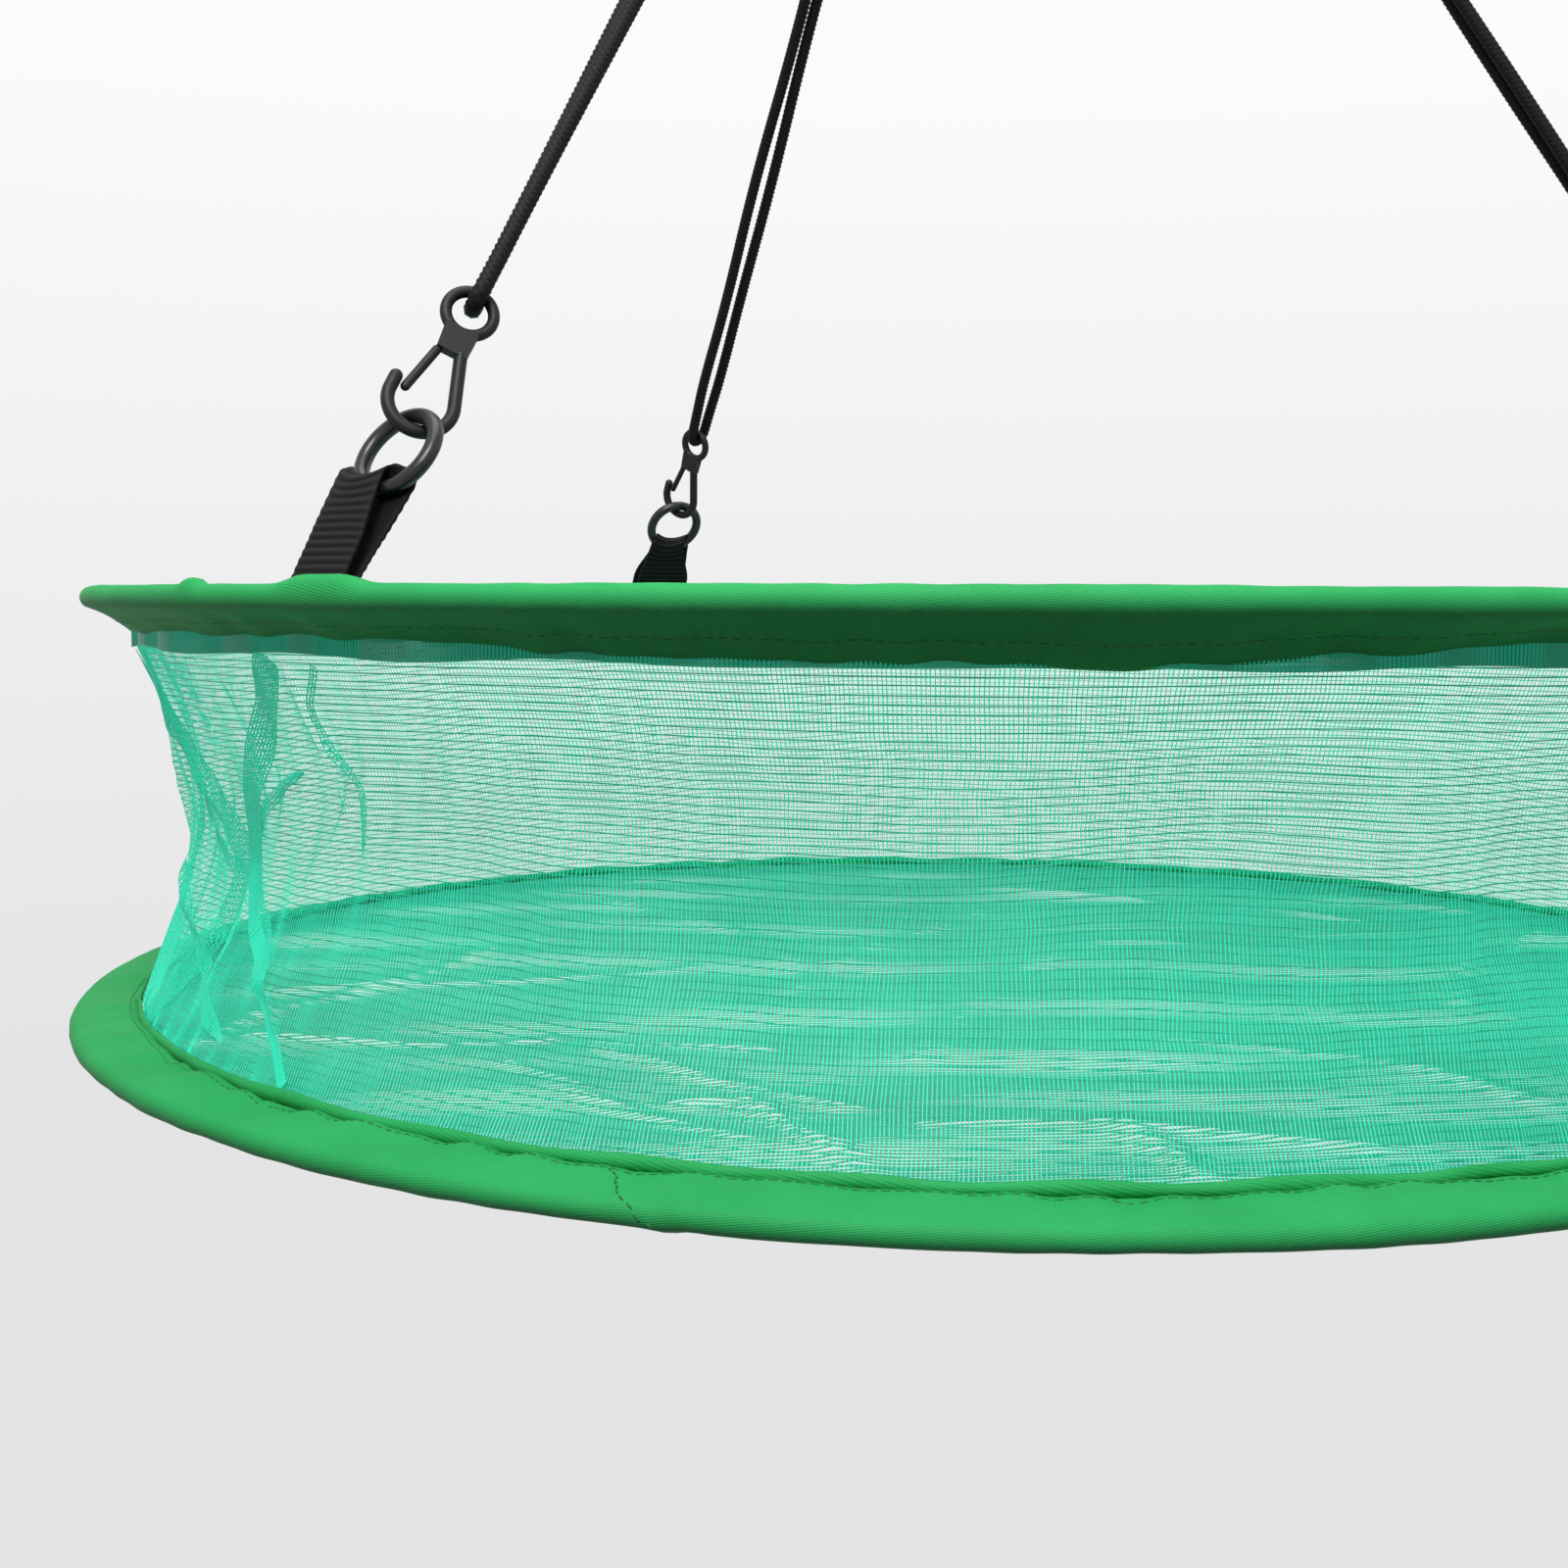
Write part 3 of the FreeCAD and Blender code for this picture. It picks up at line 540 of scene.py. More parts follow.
def linked(name, mesh, material=None):
    obj = bpy.data.objects.new(name, mesh)
    bpy.context.scene.collection.objects.link(obj)
    if material is not None:
        mesh.materials.append(material)
    return obj


def path_object(name, points, edges):
    mesh = bpy.data.meshes.new(name)
    mesh.from_pydata(points.tolist(), edges.tolist(), [])
    return linked(name, mesh)


def enclosed_volume(points, faces):
    a, b, c, d = (points[faces[:, i]] for i in range(4))
    return (np.einsum("ij,ij->", a, np.cross(b, c)) + np.einsum("ij,ij->", a, np.cross(c, d))) / 6


def grid_object(name, points, material, loop_u=False, loop_v=False, uv_size=(1.0, 1.0), outward=None, values=None):
    """A sheet or tube of quads through a grid of points. Its faces point outward, or to the side that outward says."""
    rows, columns = points.shape[:2]
    u, v = np.meshgrid(
        np.arange(rows if loop_u else rows - 1), np.arange(columns if loop_v else columns - 1), indexing="ij"
    )
    corners = ((u, v), (u + 1, v), (u + 1, v + 1), (u, v + 1))
    faces = np.stack([(a % rows) * columns + b % columns for a, b in corners], -1).reshape(-1, 4)
    spots = [np.stack([a / rows * uv_size[0], b / columns * uv_size[1]], -1) for a, b in corners]
    spots = np.stack(spots, 2).reshape(-1, 4, 2)
    flat = points.reshape(-1, 3)
    if outward is None:
        turned_in = enclosed_volume(flat, faces) < 0
    else:
        normals = np.cross(flat[faces[:, 2]] - flat[faces[:, 0]], flat[faces[:, 3]] - flat[faces[:, 1]])
        turned_in = np.einsum("ij,ij->", normals, outward.reshape(-1, 3)[faces[:, 0]]) < 0
    if turned_in:
        faces, spots = faces[:, ::-1], spots[:, ::-1]
    polygons = faces.tolist()
    if loop_v and not loop_u:
        first = list(range(columns))
        last = [(rows - 1) * columns + i for i in range(columns)]
        polygons += [first, last[::-1]] if turned_in else [first[::-1], last]
    mesh = bpy.data.meshes.new(name)
    mesh.from_pydata(flat.tolist(), [], polygons)
    layer = mesh.uv_layers.new(name="UVMap")
    uv = np.zeros((len(mesh.loops), 2), np.float32)
    uv[: faces.size] = spots.reshape(-1, 2)
    layer.data.foreach_set("uv", uv.ravel())
    for key, numbers in (values or {}).items():
        mesh.attributes.new(key, "FLOAT", "POINT").data.foreach_set("value", np.asarray(numbers, np.float32).ravel())
    mesh.shade_smooth()
    return linked(name, mesh, material)


def joined_object(name, parts):
    """Joins objects into the first one, under a new name."""
    bpy.ops.object.select_all(action="DESELECT")
    for part in parts:
        part.select_set(True)
    bpy.context.view_layer.objects.active = parts[0]
    bpy.ops.object.join()
    parts[0].name = name
    parts[0].data.name = name
    return parts[0]


def waves(angles, seed, low, high, count):
    """A smooth periodic ripple of about unit height, from a fixed seed."""
    random = np.random.default_rng(seed)
    counts = random.integers(low, high, count)
    phases = random.uniform(0, TURN, count)
    return sum(np.cos(k * angles + p) for k, p in zip(counts, phases)) / math.sqrt(count / 2)


def eased(x):
    x = np.clip(x, 0, 1)
    return x * x * (3 - 2 * x)


def resampled(points, step):
    """Points at an even step along a path."""
    along = np.concatenate([[0], np.cumsum(np.linalg.norm(np.diff(points, axis=0), axis=1))])
    stations = np.linspace(0, along[-1], max(8, round(along[-1] / step)) + 1)
    return np.stack([np.interp(stations, along, points[:, i]) for i in range(3)], -1), stations


def braided_tube(name, path, radius, pitch, material):
    """A cord along a path, whose sheath is plaited from eight strands each way."""
    around, cells = 16, 4
    low, high = 0.88 * radius, 1.06 * radius
    points, stations = resampled(np.asarray(path, float), pitch / cells)
    tangents = unit(np.gradient(points, axis=0))
    side = np.cross(tangents[0], (0.31, 0.57, 0.76))
    sides = []
    for tangent in tangents:
        side = side - tangent * (side @ tangent)
        side = side / np.linalg.norm(side)
        sides.append(side)
    sides = np.array(sides)
    ups = np.cross(tangents, sides)
    angles = full_turn(around)
    a = (angles * cells / 2)[None, :]
    b = (stations / pitch * math.pi)[:, None]
    rise = np.abs(np.sin(a) ** 2 - np.sin(b) ** 2)
    reach = low + (high - low) * rise
    grid = (
        points[:, None]
        + sides[:, None] * (np.cos(angles)[None, :] * reach)[..., None]
        + ups[:, None] * (np.sin(angles)[None, :] * reach)[..., None]
    )
    # The rise is kept on the mesh for the finish, which paints shade in the braid's low places.
    return grid_object(
        name, grid, material, loop_v=True, uv_size=(stations[-1], radius * TURN), values={"rise": rise}
    )


# ---------------------------------------------------------------------------------------------------------------------
# Finishes


def netting_finish(colours, name):
    """Thread that lets some light through, with painted light: a faint glow that stands for that light and for the soft
    light from all round.
    """
    finish = Finish(name)
    warp = finish.attribute("warp")
    patches = finish.noise(26.0, 3.0)
    tint = finish.blend(warp, rgba(colours.weft), rgba(colours.warp))
    tint = finish.blend((patches * 1.6 - 0.55).limited() * 0.3, tint, LIT_THREAD)
    # Painted light: the glow takes the threads' own colours, dimmer in the round threads.
    painted_glow = finish.blend(warp, rgba(colours.weft, 0.6), rgba(colours.warp))
    return finish.surface(
        Base_Color=tint, Roughness=0.36 + patches * 0.16, Specular_IOR_Level=0.5, Emission_Color=painted_glow,
        Emission_Strength=NETTING_PAINTED_GLOWS[name],
    )


def cloth_finish(colours):
    """Twill that follows the cloth round its hoop, with cloudy wear."""
    finish = Finish("green_twill_binding")
    place = finish.output("ShaderNodeTexCoord", name="UV")
    parts = finish.node("ShaderNodeSeparateXYZ", inputs={"Vector": place})
    along, across = (Value(finish, parts.outputs[axis]) for axis in "XY")
    twill = (along * 1650.0 + across * 7700.0 + finish.noise(120.0, 1.0)).sine() * 0.5 + 0.5
    threads = (along * 9000.0 - across * 5200.0).sine() * 0.5 + 0.5
    worn = (finish.noise(34.0, 4.0) * 1.8 - 0.6).limited()
    tint = finish.blend(worn, rgba(colours.cloth_shade), rgba(colours.cloth))
    tint = finish.blend(twill * 0.28, tint, LIT_TWILL)
    relief = twill * 0.75 + threads * 0.25
    return finish.surface(
        Base_Color=tint, Roughness=0.62 + twill * 0.14, Normal=finish.bump(relief, 0.35, 0.0002),
        Sheen_Weight=0.05, Sheen_Roughness=0.4, Sheen_Tint=CLOTH_SHEEN, Specular_IOR_Level=0.25,
    )


def stitching_finish(colours):
    finish = Finish("green_sewing_thread")
    twist = finish.noise(900.0, 1.0)
    tint = finish.blend(twist, rgba(colours.cloth_shade, 0.25), rgba(colours.cloth_shade, 0.6))
    return finish.surface(Base_Color=tint, Roughness=0.5 + twist * 0.2)


def webbing_finish(colours):
    finish = Finish("black_ribbed_webbing")
    fibres = finish.noise(1400.0, 2.0)
    # Painted shade and light: the ribs' crests take twice the webbing's colour, the grooves between them the near-black
    # rib shade.
    raised = (finish.attribute("rib") * 0.8 + fibres * 0.35 - 0.15).limited()
    return finish.surface(
        Base_Color=finish.blend(raised, RIB_SHADE, rgba(colours.webbing, 2.0)), Roughness=0.82 - fibres * 0.18,
        Normal=finish.bump(fibres, 0.35, 0.0002), Specular_IOR_Level=0.12,
    )


def cord_finish(colours, name="black_braided_cord"):
    finish = Finish(name)
    rise = finish.attribute("rise")
    fibres = finish.noise(1800.0, 2.0)
    # Painted shade and light: the braid's low places near black and its crests at twice the cord's colour.
    tint = finish.blend((rise * 1.2 - 0.1).limited(), BRAID_SHADE, rgba(colours.cord, 2.0))
    return finish.surface(
        Base_Color=tint, Roughness=0.62 - rise * 0.18 + fibres * 0.1, Normal=finish.bump(fibres, 0.3, 0.00015),
        Specular_IOR_Level=0.14,
    )


def plastic_finish(colours):
    finish = Finish("charcoal_moulded_plastic")
    grain = finish.noise(1500.0, 3.0)
    handled = finish.noise(90.0, 3.0)
    return finish.surface(
        Base_Color=finish.blend(handled, rgba(colours.plastic), rgba(colours.plastic, 1.5)),
        Roughness=0.40 + handled * 0.14, Normal=finish.bump(grain, 0.12, 0.0001), Specular_IOR_Level=0.24,
    )


def painted_finish(colours):
    finish = Finish("black_coated_steel")
    wear = finish.noise(160.0, 4.0)
    tint = finish.blend((wear * 2.0 - 1.0).limited(), rgba(colours.painted), WORN_COATING)
    return finish.surface(
        Base_Color=tint, Roughness=0.24 + wear * 0.16, Normal=finish.bump(wear, 0.10, 0.0002),
        Coat_Weight=0.15, Coat_Roughness=0.25, Specular_IOR_Level=0.35,
    )


def bright_finish(name, tint, roughness):
    finish = Finish(name)
    drawn = finish.noise(240.0, 4.0)
    shade = finish.blend(drawn, rgba(tint), rgba(tint, 0.72))
    return finish.surface(
        Base_Color=shade, Metallic=1.0, Roughness=roughness + drawn * 0.12, Normal=finish.bump(drawn, 0.05, 0.0001)
    )


# ---------------------------------------------------------------------------------------------------------------------
# The netting


def fold_height(azimuth, drop, fold):
    """How far one fold lifts the wall, a rounded ridge along a line on it."""
    start_az, start_drop, end_az, end_drop, lift, half_width = fold
    across = arc(azimuth, math.radians(start_az), WALL_RADIUS)
    down = (drop - start_drop) * WALL_TALL
    run = np.array([math.radians(end_az - start_az) * WALL_RADIUS, (end_drop - start_drop) * WALL_TALL])
    share = np.clip((across * run[0] + down * run[1]) / (run @ run), 0, 1)
    away = np.hypot(across - share * run[0], down - share * run[1])
    body = 0.35 + 0.65 * np.sin(np.pi * np.clip(share, 0.02, 0.98))
    return lift * body / (1 + (away / half_width) ** 2) ** 1.5


def wall_point(azimuth, drop, settings):
    """The wall's surface at an azimuth and a share of the way down."""
    upper = np.clip(1 - drop / WALL_WAIST, 0, 1) ** 1.7
    lower = np.clip((drop - WALL_WAIST) / (1 - WALL_WAIST), 0, 1) ** 1.5
    radius = WALL_RADIUS + 0.0003 - settings.waist * (1 - upper - lower)
    # The wall is free to ripple away from its two seams, and puckers close to them.
    free = np.sin(np.pi * np.clip(drop, 0, 1)) ** 0.7
    lean = azimuth + 0.10 * (drop - 0.5)
    radius = radius + free * (
        0.0016 * waves(lean, 11, 4, 11, 6)
        + 0.0010 * waves(azimuth - 0.22 * drop, 12, 13, 34, 8)
        + 0.00035 * waves(azimuth + 0.1 * drop, 13, 50, 110, 8)
    )
    edge = np.exp(-drop / 0.07) + np.exp(-(1 - drop) / 0.06)
    radius = radius + 0.00045 * edge * np.clip(drop / 0.02, 0, 1) * waves(azimuth, 14, 70, 150, 8)
    for fold in WALL_FOLDS:
        radius = radius + free * fold_height(azimuth, drop, fold)
    level = WALL_HIGH.z - WALL_TALL * drop + 0.0011 * free * waves(azimuth + 0.3 * drop, 15, 5, 19, 6)
    return polar(radius, azimuth, level)


def wall_frame(azimuth, drop, settings):
    """Points on the wall, with the directions down it, round it and outward."""
    step = 0.004
    here = wall_point(azimuth, drop, settings)
    down = unit(wall_point(azimuth, drop + step, settings) - wall_point(azimuth, drop - step, settings))
    round_it = unit(wall_point(azimuth + step, drop, settings) - wall_point(azimuth - step, drop, settings))
    outward = unit(np.cross(down, round_it))
    return here, down, round_it, outward


class Threads:
    """Collects rows of points, each row a thread, with the directions that its section is built on."""

    def __init__(self):
        self.points, self.edges, self.across, self.outward, self.gauge, self.warp = [], [], [], [], [], []
        self.count = 0

    def add(self, points, across, outward, gauge, warp, closed=False):
        """Adds a grid of threads, one to a row."""
        rows, columns = points.shape[:2]
        numbers = np.arange(rows * columns).reshape(rows, columns) + self.count
        following = np.roll(numbers, -1, axis=1)
        last = columns if closed else columns - 1
        self.edges.append(np.stack([numbers[:, :last], following[:, :last]], -1).reshape(-1, 2))
        for store, array in ((self.points, points), (self.across, across), (self.outward, outward)):
            store.append(np.broadcast_to(array, points.shape).reshape(-1, 3))
        self.gauge.append(np.full(rows * columns, gauge))
        self.warp.append(np.full(rows * columns, warp))
        self.count += rows * columns

    def made(self, name, group, width, height, material):
        """The threads as one mesh, with every face outward."""
        obj = path_object(name, np.concatenate(self.points), np.concatenate(self.edges))
        for key, store in (("across", self.across), ("outward", self.outward)):
            layer = obj.data.attributes.new(key, "FLOAT_VECTOR", "POINT")
            layer.data.foreach_set("vector", np.concatenate(store).astype(np.float32).ravel())
        for key, store in (("gauge", self.gauge), ("warp", self.warp)):
            layer = obj.data.attributes.new(key, "FLOAT", "POINT")
            layer.data.foreach_set("value", np.concatenate(store).astype(np.float32))
        grown(obj, group, {"Thread Width": width, "Thread Height": height, "Material": material})
        face_outward(obj.data)
        return obj


def face_outward(mesh):
    """Turns round each face that looks inward, then drops the attributes that only the sweep needed."""
    outward = np.zeros(len(mesh.vertices) * 3, np.float32)
    mesh.attributes["outward"].data.foreach_get("vector", outward)
    normals = np.zeros(len(mesh.polygons) * 3, np.float32)
    mesh.polygons.foreach_get("normal", normals)
    first = np.zeros(len(mesh.polygons), np.int32)
    mesh.polygons.foreach_get("loop_start", first)
    corners = np.zeros(len(mesh.loops), np.int32)
    mesh.loops.foreach_get("vertex_index", corners)
    facing = np.einsum("ij,ij->i", outward.reshape(-1, 3)[corners[first]], normals.reshape(-1, 3))
    polygons = mesh.polygons
    for index in np.flatnonzero(facing < 0).tolist():
        polygons[index].flip()
    for key in ("across", "outward", "gauge"):
        mesh.attributes.remove(mesh.attributes[key])
    mesh.update()


def wall_netting(settings, group, material):
    """The wall's threads: rings one above another, and the upright threads that cross them."""
    threads = Threads()
    ring_steps, upright_steps = 396, 16
    rows = round(WALL_TALL * 1.04 / settings.pitch)
    random = np.random.default_rng(21)
    drops = (np.arange(rows) + 0.5) / rows + random.normal(0, 0.0004, rows)
    az, dr = np.meshgrid(full_turn(ring_steps), drops)
    dr = dr + 0.0016 * waves(az + 2 * dr, 22, 6, 26, 8) * np.sin(np.pi * dr)
    here, down, _, outward = wall_frame(az, dr, settings)
    threads.add(here, down, outward, 1.0, 0.0, closed=True)
    count = round(TURN * WALL_RADIUS / settings.up_pitch)
    starts = (np.arange(count) + random.uniform(-0.08, 0.08, count)) / count * TURN
    dr, az = np.meshgrid(np.linspace(0.0, 1.0, upright_steps), starts)
    az = az + 0.0014 * waves(az + 2.0 * dr, 23, 9, 40, 8) * np.sin(np.pi * dr)
    here, _, round_it, outward = wall_frame(az, dr, settings)
    threads.add(here, round_it, outward, settings.up_gauge, 1.0)
    return threads.made("wall_netting", group, settings.width, settings.height, material)


def smooth_stops(stops):
    """An evenly eased line through stops of (azimuth in degrees, share of the way down, half width)."""
    steps, reach = 121, 13
    stops = np.array(stops, float)
    spans = np.linspace(0, len(stops) - 1, steps)
    line = np.stack([np.interp(spans, np.arange(len(stops)), stops[:, i]) for i in range(3)], -1)
    kernel = np.hanning(2 * reach + 1)
    kernel = kernel / kernel.sum()
    padded = np.concatenate(
        [2 * line[:1] - line[reach:0:-1], line, 2 * line[-1:] - line[-2 : -reach - 2 : -1]]
    )
    return np.stack([np.convolve(padded[:, i], kernel, "valid") for i in range(3)], -1)


def doubled_strip(threads, stops, stand_off, settings, gauge, edge_gauge=0.0):
    """A strip of tightly woven netting along a line on the wall."""
    line = smooth_stops(stops)
    spans = np.linspace(0, 1, len(line))
    # An end that reaches an edge of the wall stays full, and one that lies free on it runs out thin.
    start_share, end_share = (1.0 if min(stop[1], 1 - stop[1]) < 0.06 else 0.15 for stop in (stops[0], stops[-1]))
    line[:, 2] *= np.minimum(1, np.minimum(start_share + spans / 0.12, end_share + (1 - spans) / 0.12))
    centre = np.stack([np.radians(line[:, 0]) * WALL_RADIUS, line[:, 1] * WALL_TALL], -1)
    along = unit(np.gradient(centre, axis=0))
    beside = np.stack([-along[:, 1], along[:, 0]], -1)
    spacing = settings.up_pitch
    steps_along, steps_across = 49, 5

    def laid(shares, spans):
        where = np.interp(spans, np.linspace(0, 1, len(line)), np.arange(len(line)))
        index = np.clip(np.round(where).astype(int), 0, len(line) - 1)
        spot = centre[index] + beside[index] * (line[index, 2] * shares)[..., None]
        drop = np.clip(spot[..., 1] / WALL_TALL, 0.004, 0.990)
        here, _, _, outward = wall_frame(spot[..., 0] / WALL_RADIUS, drop, settings)
        points = here + outward * stand_off
        return points, unit(np.cross(outward, np.gradient(points, axis=1))), outward

    rows = max(3, round(2 * line[:, 2].max() / spacing) + 1)
    spans, shares = np.meshgrid(np.linspace(0, 1, steps_along), np.linspace(-1, 1, rows))
    threads.add(*laid(shares, spans), gauge, 0.8)
    length = np.linalg.norm(np.diff(centre, axis=0), axis=1).sum()
    columns = max(3, round(length / spacing))
    shares, spans = np.meshgrid(np.linspace(-1, 1, steps_across), np.linspace(0, 1, columns))
    threads.add(*laid(shares, spans), gauge, 0.8)
    if edge_gauge:
        spans, shares = np.meshgrid(np.linspace(0, 1, steps_along), np.array([-1.0, 1.0]))
        threads.add(*laid(shares, spans), edge_gauge, 0.0)


def lap_seam(settings, group, material):
    """The doubled strip where the wall's two ends are lapped, narrower towards the floor."""
    threads = Threads()
    doubled_strip(threads, LAP_SEAM, 0.0010, settings, 1.5, 1.1)
    return threads.made("wall_lap_seam", group, settings.width, settings.height, material)


def wall_tucks(settings, group, material):
    """Narrow tucks where slack netting has folded over on itself."""
    threads = Threads()
    for number, stops in enumerate(WALL_TUCKS):
        doubled_strip(threads, stops, 0.0005 + 0.0003 * (number % 2), settings, 1.15)
    return threads.made("wall_tucks", group, settings.width, settings.height, material)


def top_hem(settings, group, material):
    """The wall's doubled top edge, which shows wherever the binding's cloth stops short of it."""
    threads = Threads()
    ring_steps, rows = 440, 17
    start, deep = WALL_HIGH.z + 0.0045, 0.0056

    def level(az, step):
        return start - step * (deep + 0.0004 * waves(az, 31, 6, 30, 8))

    az, step = np.meshgrid(full_turn(ring_steps), np.linspace(0, 1, rows))
    radius = WALL_RADIUS + 0.0008 + 0.0003 * waves(az, 32, 20, 70, 6)
    down = np.array([0.0, 0.0, -1.0])
    threads.add(polar(radius, az, level(az, step)), down, polar(1.0, az, 0.0), 1.0, 0.0, closed=True)
    count = round(TURN * WALL_RADIUS / settings.up_pitch)
    step, az = np.meshgrid(np.linspace(0, 1, 3), full_turn(count))
    upright = polar(WALL_RADIUS + 0.0009, az, level(az, step))
    threads.add(upright, polar(1.0, az + math.pi / 2, 0.0), polar(1.0, az, 0.0), 1.3, 0.3)
    return threads.made("wall_top_hem", group, settings.width, settings.height, material)


def floor_level(x, y, settings):
    """The floor's height: a slight sag, and long wrinkles and folds that die away at the seam."""
    random = np.random.default_rng(41)
    ripples, sag = 16, 0.0012
    away = np.hypot(x, y) / FLOOR_RADIUS
    held = np.clip((1 - away) / 0.10, 0, 1) ** 0.8
    ripple = 0.0
    for _ in range(ripples):
        heading = math.radians(WRINKLE_HEADING) + random.normal(0, 0.30)
        wavelength = random.uniform(0.032, 0.110)
        bend = 1.4 * np.sin(x * random.uniform(4, 11) + y * random.uniform(-9, 9) + random.uniform(0, TURN))
        run = x * math.cos(heading) + y * math.sin(heading)
        ripple = ripple + np.cos(run / wavelength * TURN + bend + random.uniform(0, TURN))
    ripple = ripple / math.sqrt(ripples / 2)
    fold = 0.0
    for stops, lift, half_width in FLOOR_FOLDS:
        nearest = np.full(np.shape(x), 1.0)
        for (x0, y0), (x1, y1) in zip(stops, stops[1:]):
            run = np.array([x1 - x0, y1 - y0])
            share = np.clip(((x - x0) * run[0] + (y - y0) * run[1]) / (run @ run), 0, 1)
            nearest = np.minimum(nearest, np.hypot(x - x0 - share * run[0], y - y0 - share * run[1]))
        fold = fold + lift / (1 + (nearest / half_width) ** 2) ** 1.5
    return FLOOR_LEVEL - sag * (1 - away**2) + held * (settings.wrinkle * ripple + fold)


def floor_netting(settings, group, material):
    """The floor's threads, straight from edge to edge but for a slight drift, in two directions."""
    threads = Threads()
    random = np.random.default_rng(42)
    edge = FLOOR_RADIUS - 0.0006
    small = 0.001

    def heights(spots):
        return floor_level(spots[..., 0], spots[..., 1], settings)

    def slope(spots, step):
        return (heights(spots + step) - heights(spots - step)) / (2 * small)

    # Each direction's turn from the grain, gauge, warp share, pitch, and distance between a thread's points.
    crossing = (math.pi / 2, 0.6 * settings.up_gauge, 1.0, settings.up_pitch, 0.0088)
    for turn, gauge, warp, pitch, step in ((0.0, 1.0, 0.0, settings.pitch, 0.0056), crossing):
        heading = math.radians(FLOOR_GRAIN) + turn
        along = np.array([math.cos(heading), math.sin(heading)])
        across = np.array([-along[1], along[0]])
        count = int(FLOOR_RADIUS / pitch)
        for i in range(-count, count + 1):
            offset = (i + random.uniform(-0.06, 0.06)) * pitch
            if abs(offset) >= edge - 0.003:
                continue
            reach = math.sqrt(edge**2 - offset**2)
            stations = np.linspace(-reach, reach, max(3, round(2 * reach / step) + 1))
            drift = 0.0007 * np.sin(stations * 31 + offset * 47) * (1 - (stations / reach) ** 2)
            spots = stations[:, None] * along + (offset + drift)[:, None] * across
            here = np.concatenate([spots, heights(spots)[:, None]], 1)
            slope_x, slope_y = slope(spots, (small, 0)), slope(spots, (0, small))
            outward = unit(np.stack([-slope_x, -slope_y, np.ones_like(slope_x)], -1))
            side = unit(np.cross(outward, np.array([*along, 0.0])))
            threads.add(here[None], side[None], outward[None], gauge, warp)
    return threads.made("floor_netting", group, settings.width, settings.floor_height, material)


class NET_OT_netting(bpy.types.Operator):
    """Weave the wall, its lapped seam, tucks and top hem, and the floor, thread by thread"""

    bl_idname = "net_tray.netting"
    bl_label = "Netting"

    def execute(self, context):
        settings = context.scene.net_netting
        on_wall, on_floor, on_folds = (netting_finish(context.scene.net_colours, name) for name in NETTING_PAINTED_GLOWS)
        group = thread_tree()
        wall = wall_netting(settings, group, on_wall)
        seam, tucks, hem = (build(settings, group, on_folds) for build in (lap_seam, wall_tucks, top_hem))
        floor = floor_netting(settings, group, on_floor)
        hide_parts("side_mesh")
        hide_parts("side_mesh_seam")
        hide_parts("floor_mesh")
        for piece in (wall, seam, tucks, hem):
            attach(piece, "net")
        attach(floor, "tray")
        # The wall's height is a little less than its cloth's, which curves in and out on its way down.
        travel = next(j for j in frame["joints"] if j["name"] == "net_collapse")
        drop = max(travel["range_m"])
        for piece in (wall, seam, tucks):
            (WALL_TALL - drop) / WALL_TALL
            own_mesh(piece)
        return {"FINISHED"}


# ---------------------------------------------------------------------------------------------------------------------
# The bindings


def band_drop(azimuth):
    """How far the top binding's lower edge is below its wire, eased between the listed azimuths."""
    angles, drops = np.array([*BAND_DROPS, (360, BAND_DROPS[0][1])], float).T
    degrees = np.mod(np.degrees(azimuth), 360)
    index = np.clip(np.searchsorted(angles, degrees, side="right") - 1, 0, len(angles) - 2)
    share = (degrees - angles[index]) / (angles[index + 1] - angles[index])
    return drops[index] + (drops[index + 1] - drops[index]) * eased(share)


def bulge(azimuth, centre, half_width):
    """A rounded rise about one azimuth, half its width in metres on the top hoop."""
    return np.exp(-((arc(azimuth, centre, TOP_RADIUS) / half_width) ** 4))


def run_between(start, end, count, belly):
    """Points from start to end, both ends left out, with a belly to one side."""
    shares = [(i + 1) / (count + 1) for i in range(count)]
    normal = unit(np.stack([-(end - start)[..., 1], (end - start)[..., 0]], -1))
    return [start + (end - start) * s + normal * (belly * math.sin(math.pi * s)) for s in shares]


def on_sleeve(radius, degrees, azimuth):
    """A point of the section on the sleeve round the wire, the same at every azimuth."""
    angle = math.radians(degrees)
    return np.full((len(azimuth), 2), (radius * math.cos(angle), radius * math.sin(angle)))


def ring_surface(azimuth, hoop_radius, level, profile):
    """The points of a profile, (outward, up) from a hoop's wire at each azimuth, carried round the hoop."""
    grid = np.stack(profile, 1)
    return polar(hoop_radius + grid[..., 0], azimuth[:, None], level + grid[..., 1])


def pushed(points, amount):
    """A closed surface's points, each moved along its normal."""
    around = np.roll(points, -1, 0) - np.roll(points, 1, 0)
    across = np.roll(points, -1, 1) - np.roll(points, 1, 1)
    return points + unit(np.cross(across, around)) * amount[..., None]


def top_profile(azimuth, settings, tabs, seam_azimuth):
    """The top binding's section at each azimuth, lifted where a tab or the wall's seam is sewn in under it."""
    drop = band_drop(azimuth) + 0.0002 * waves(azimuth, 51, 14, 60, 8)
    lift = 0.0021 * sum(bulge(azimuth, tab, 0.0135) for tab in tabs) + 0.0016 * bulge(azimuth, seam_azimuth, 0.0045)
    edge, fold, inner = (
        np.stack([np.full_like(drop, -inset), level], -1)
        for inset, level in zip(BAND_FACES, (-drop, -drop - 0.00035, -drop + 0.0004))
    )
    wrap = [on_sleeve(settings.sleeve, degrees, azimuth) for degrees in BAND_WRAP]
    for point in wrap:
        point[:, 1] += lift * np.clip(point[:, 1] / settings.sleeve, 0, 1)
    outside = run_between(edge, wrap[0], 4, 0.0006)
    inside = run_between(wrap[-1], inner, 4, 0.0003)
    return [fold, edge, *outside, *wrap, *inside, inner]


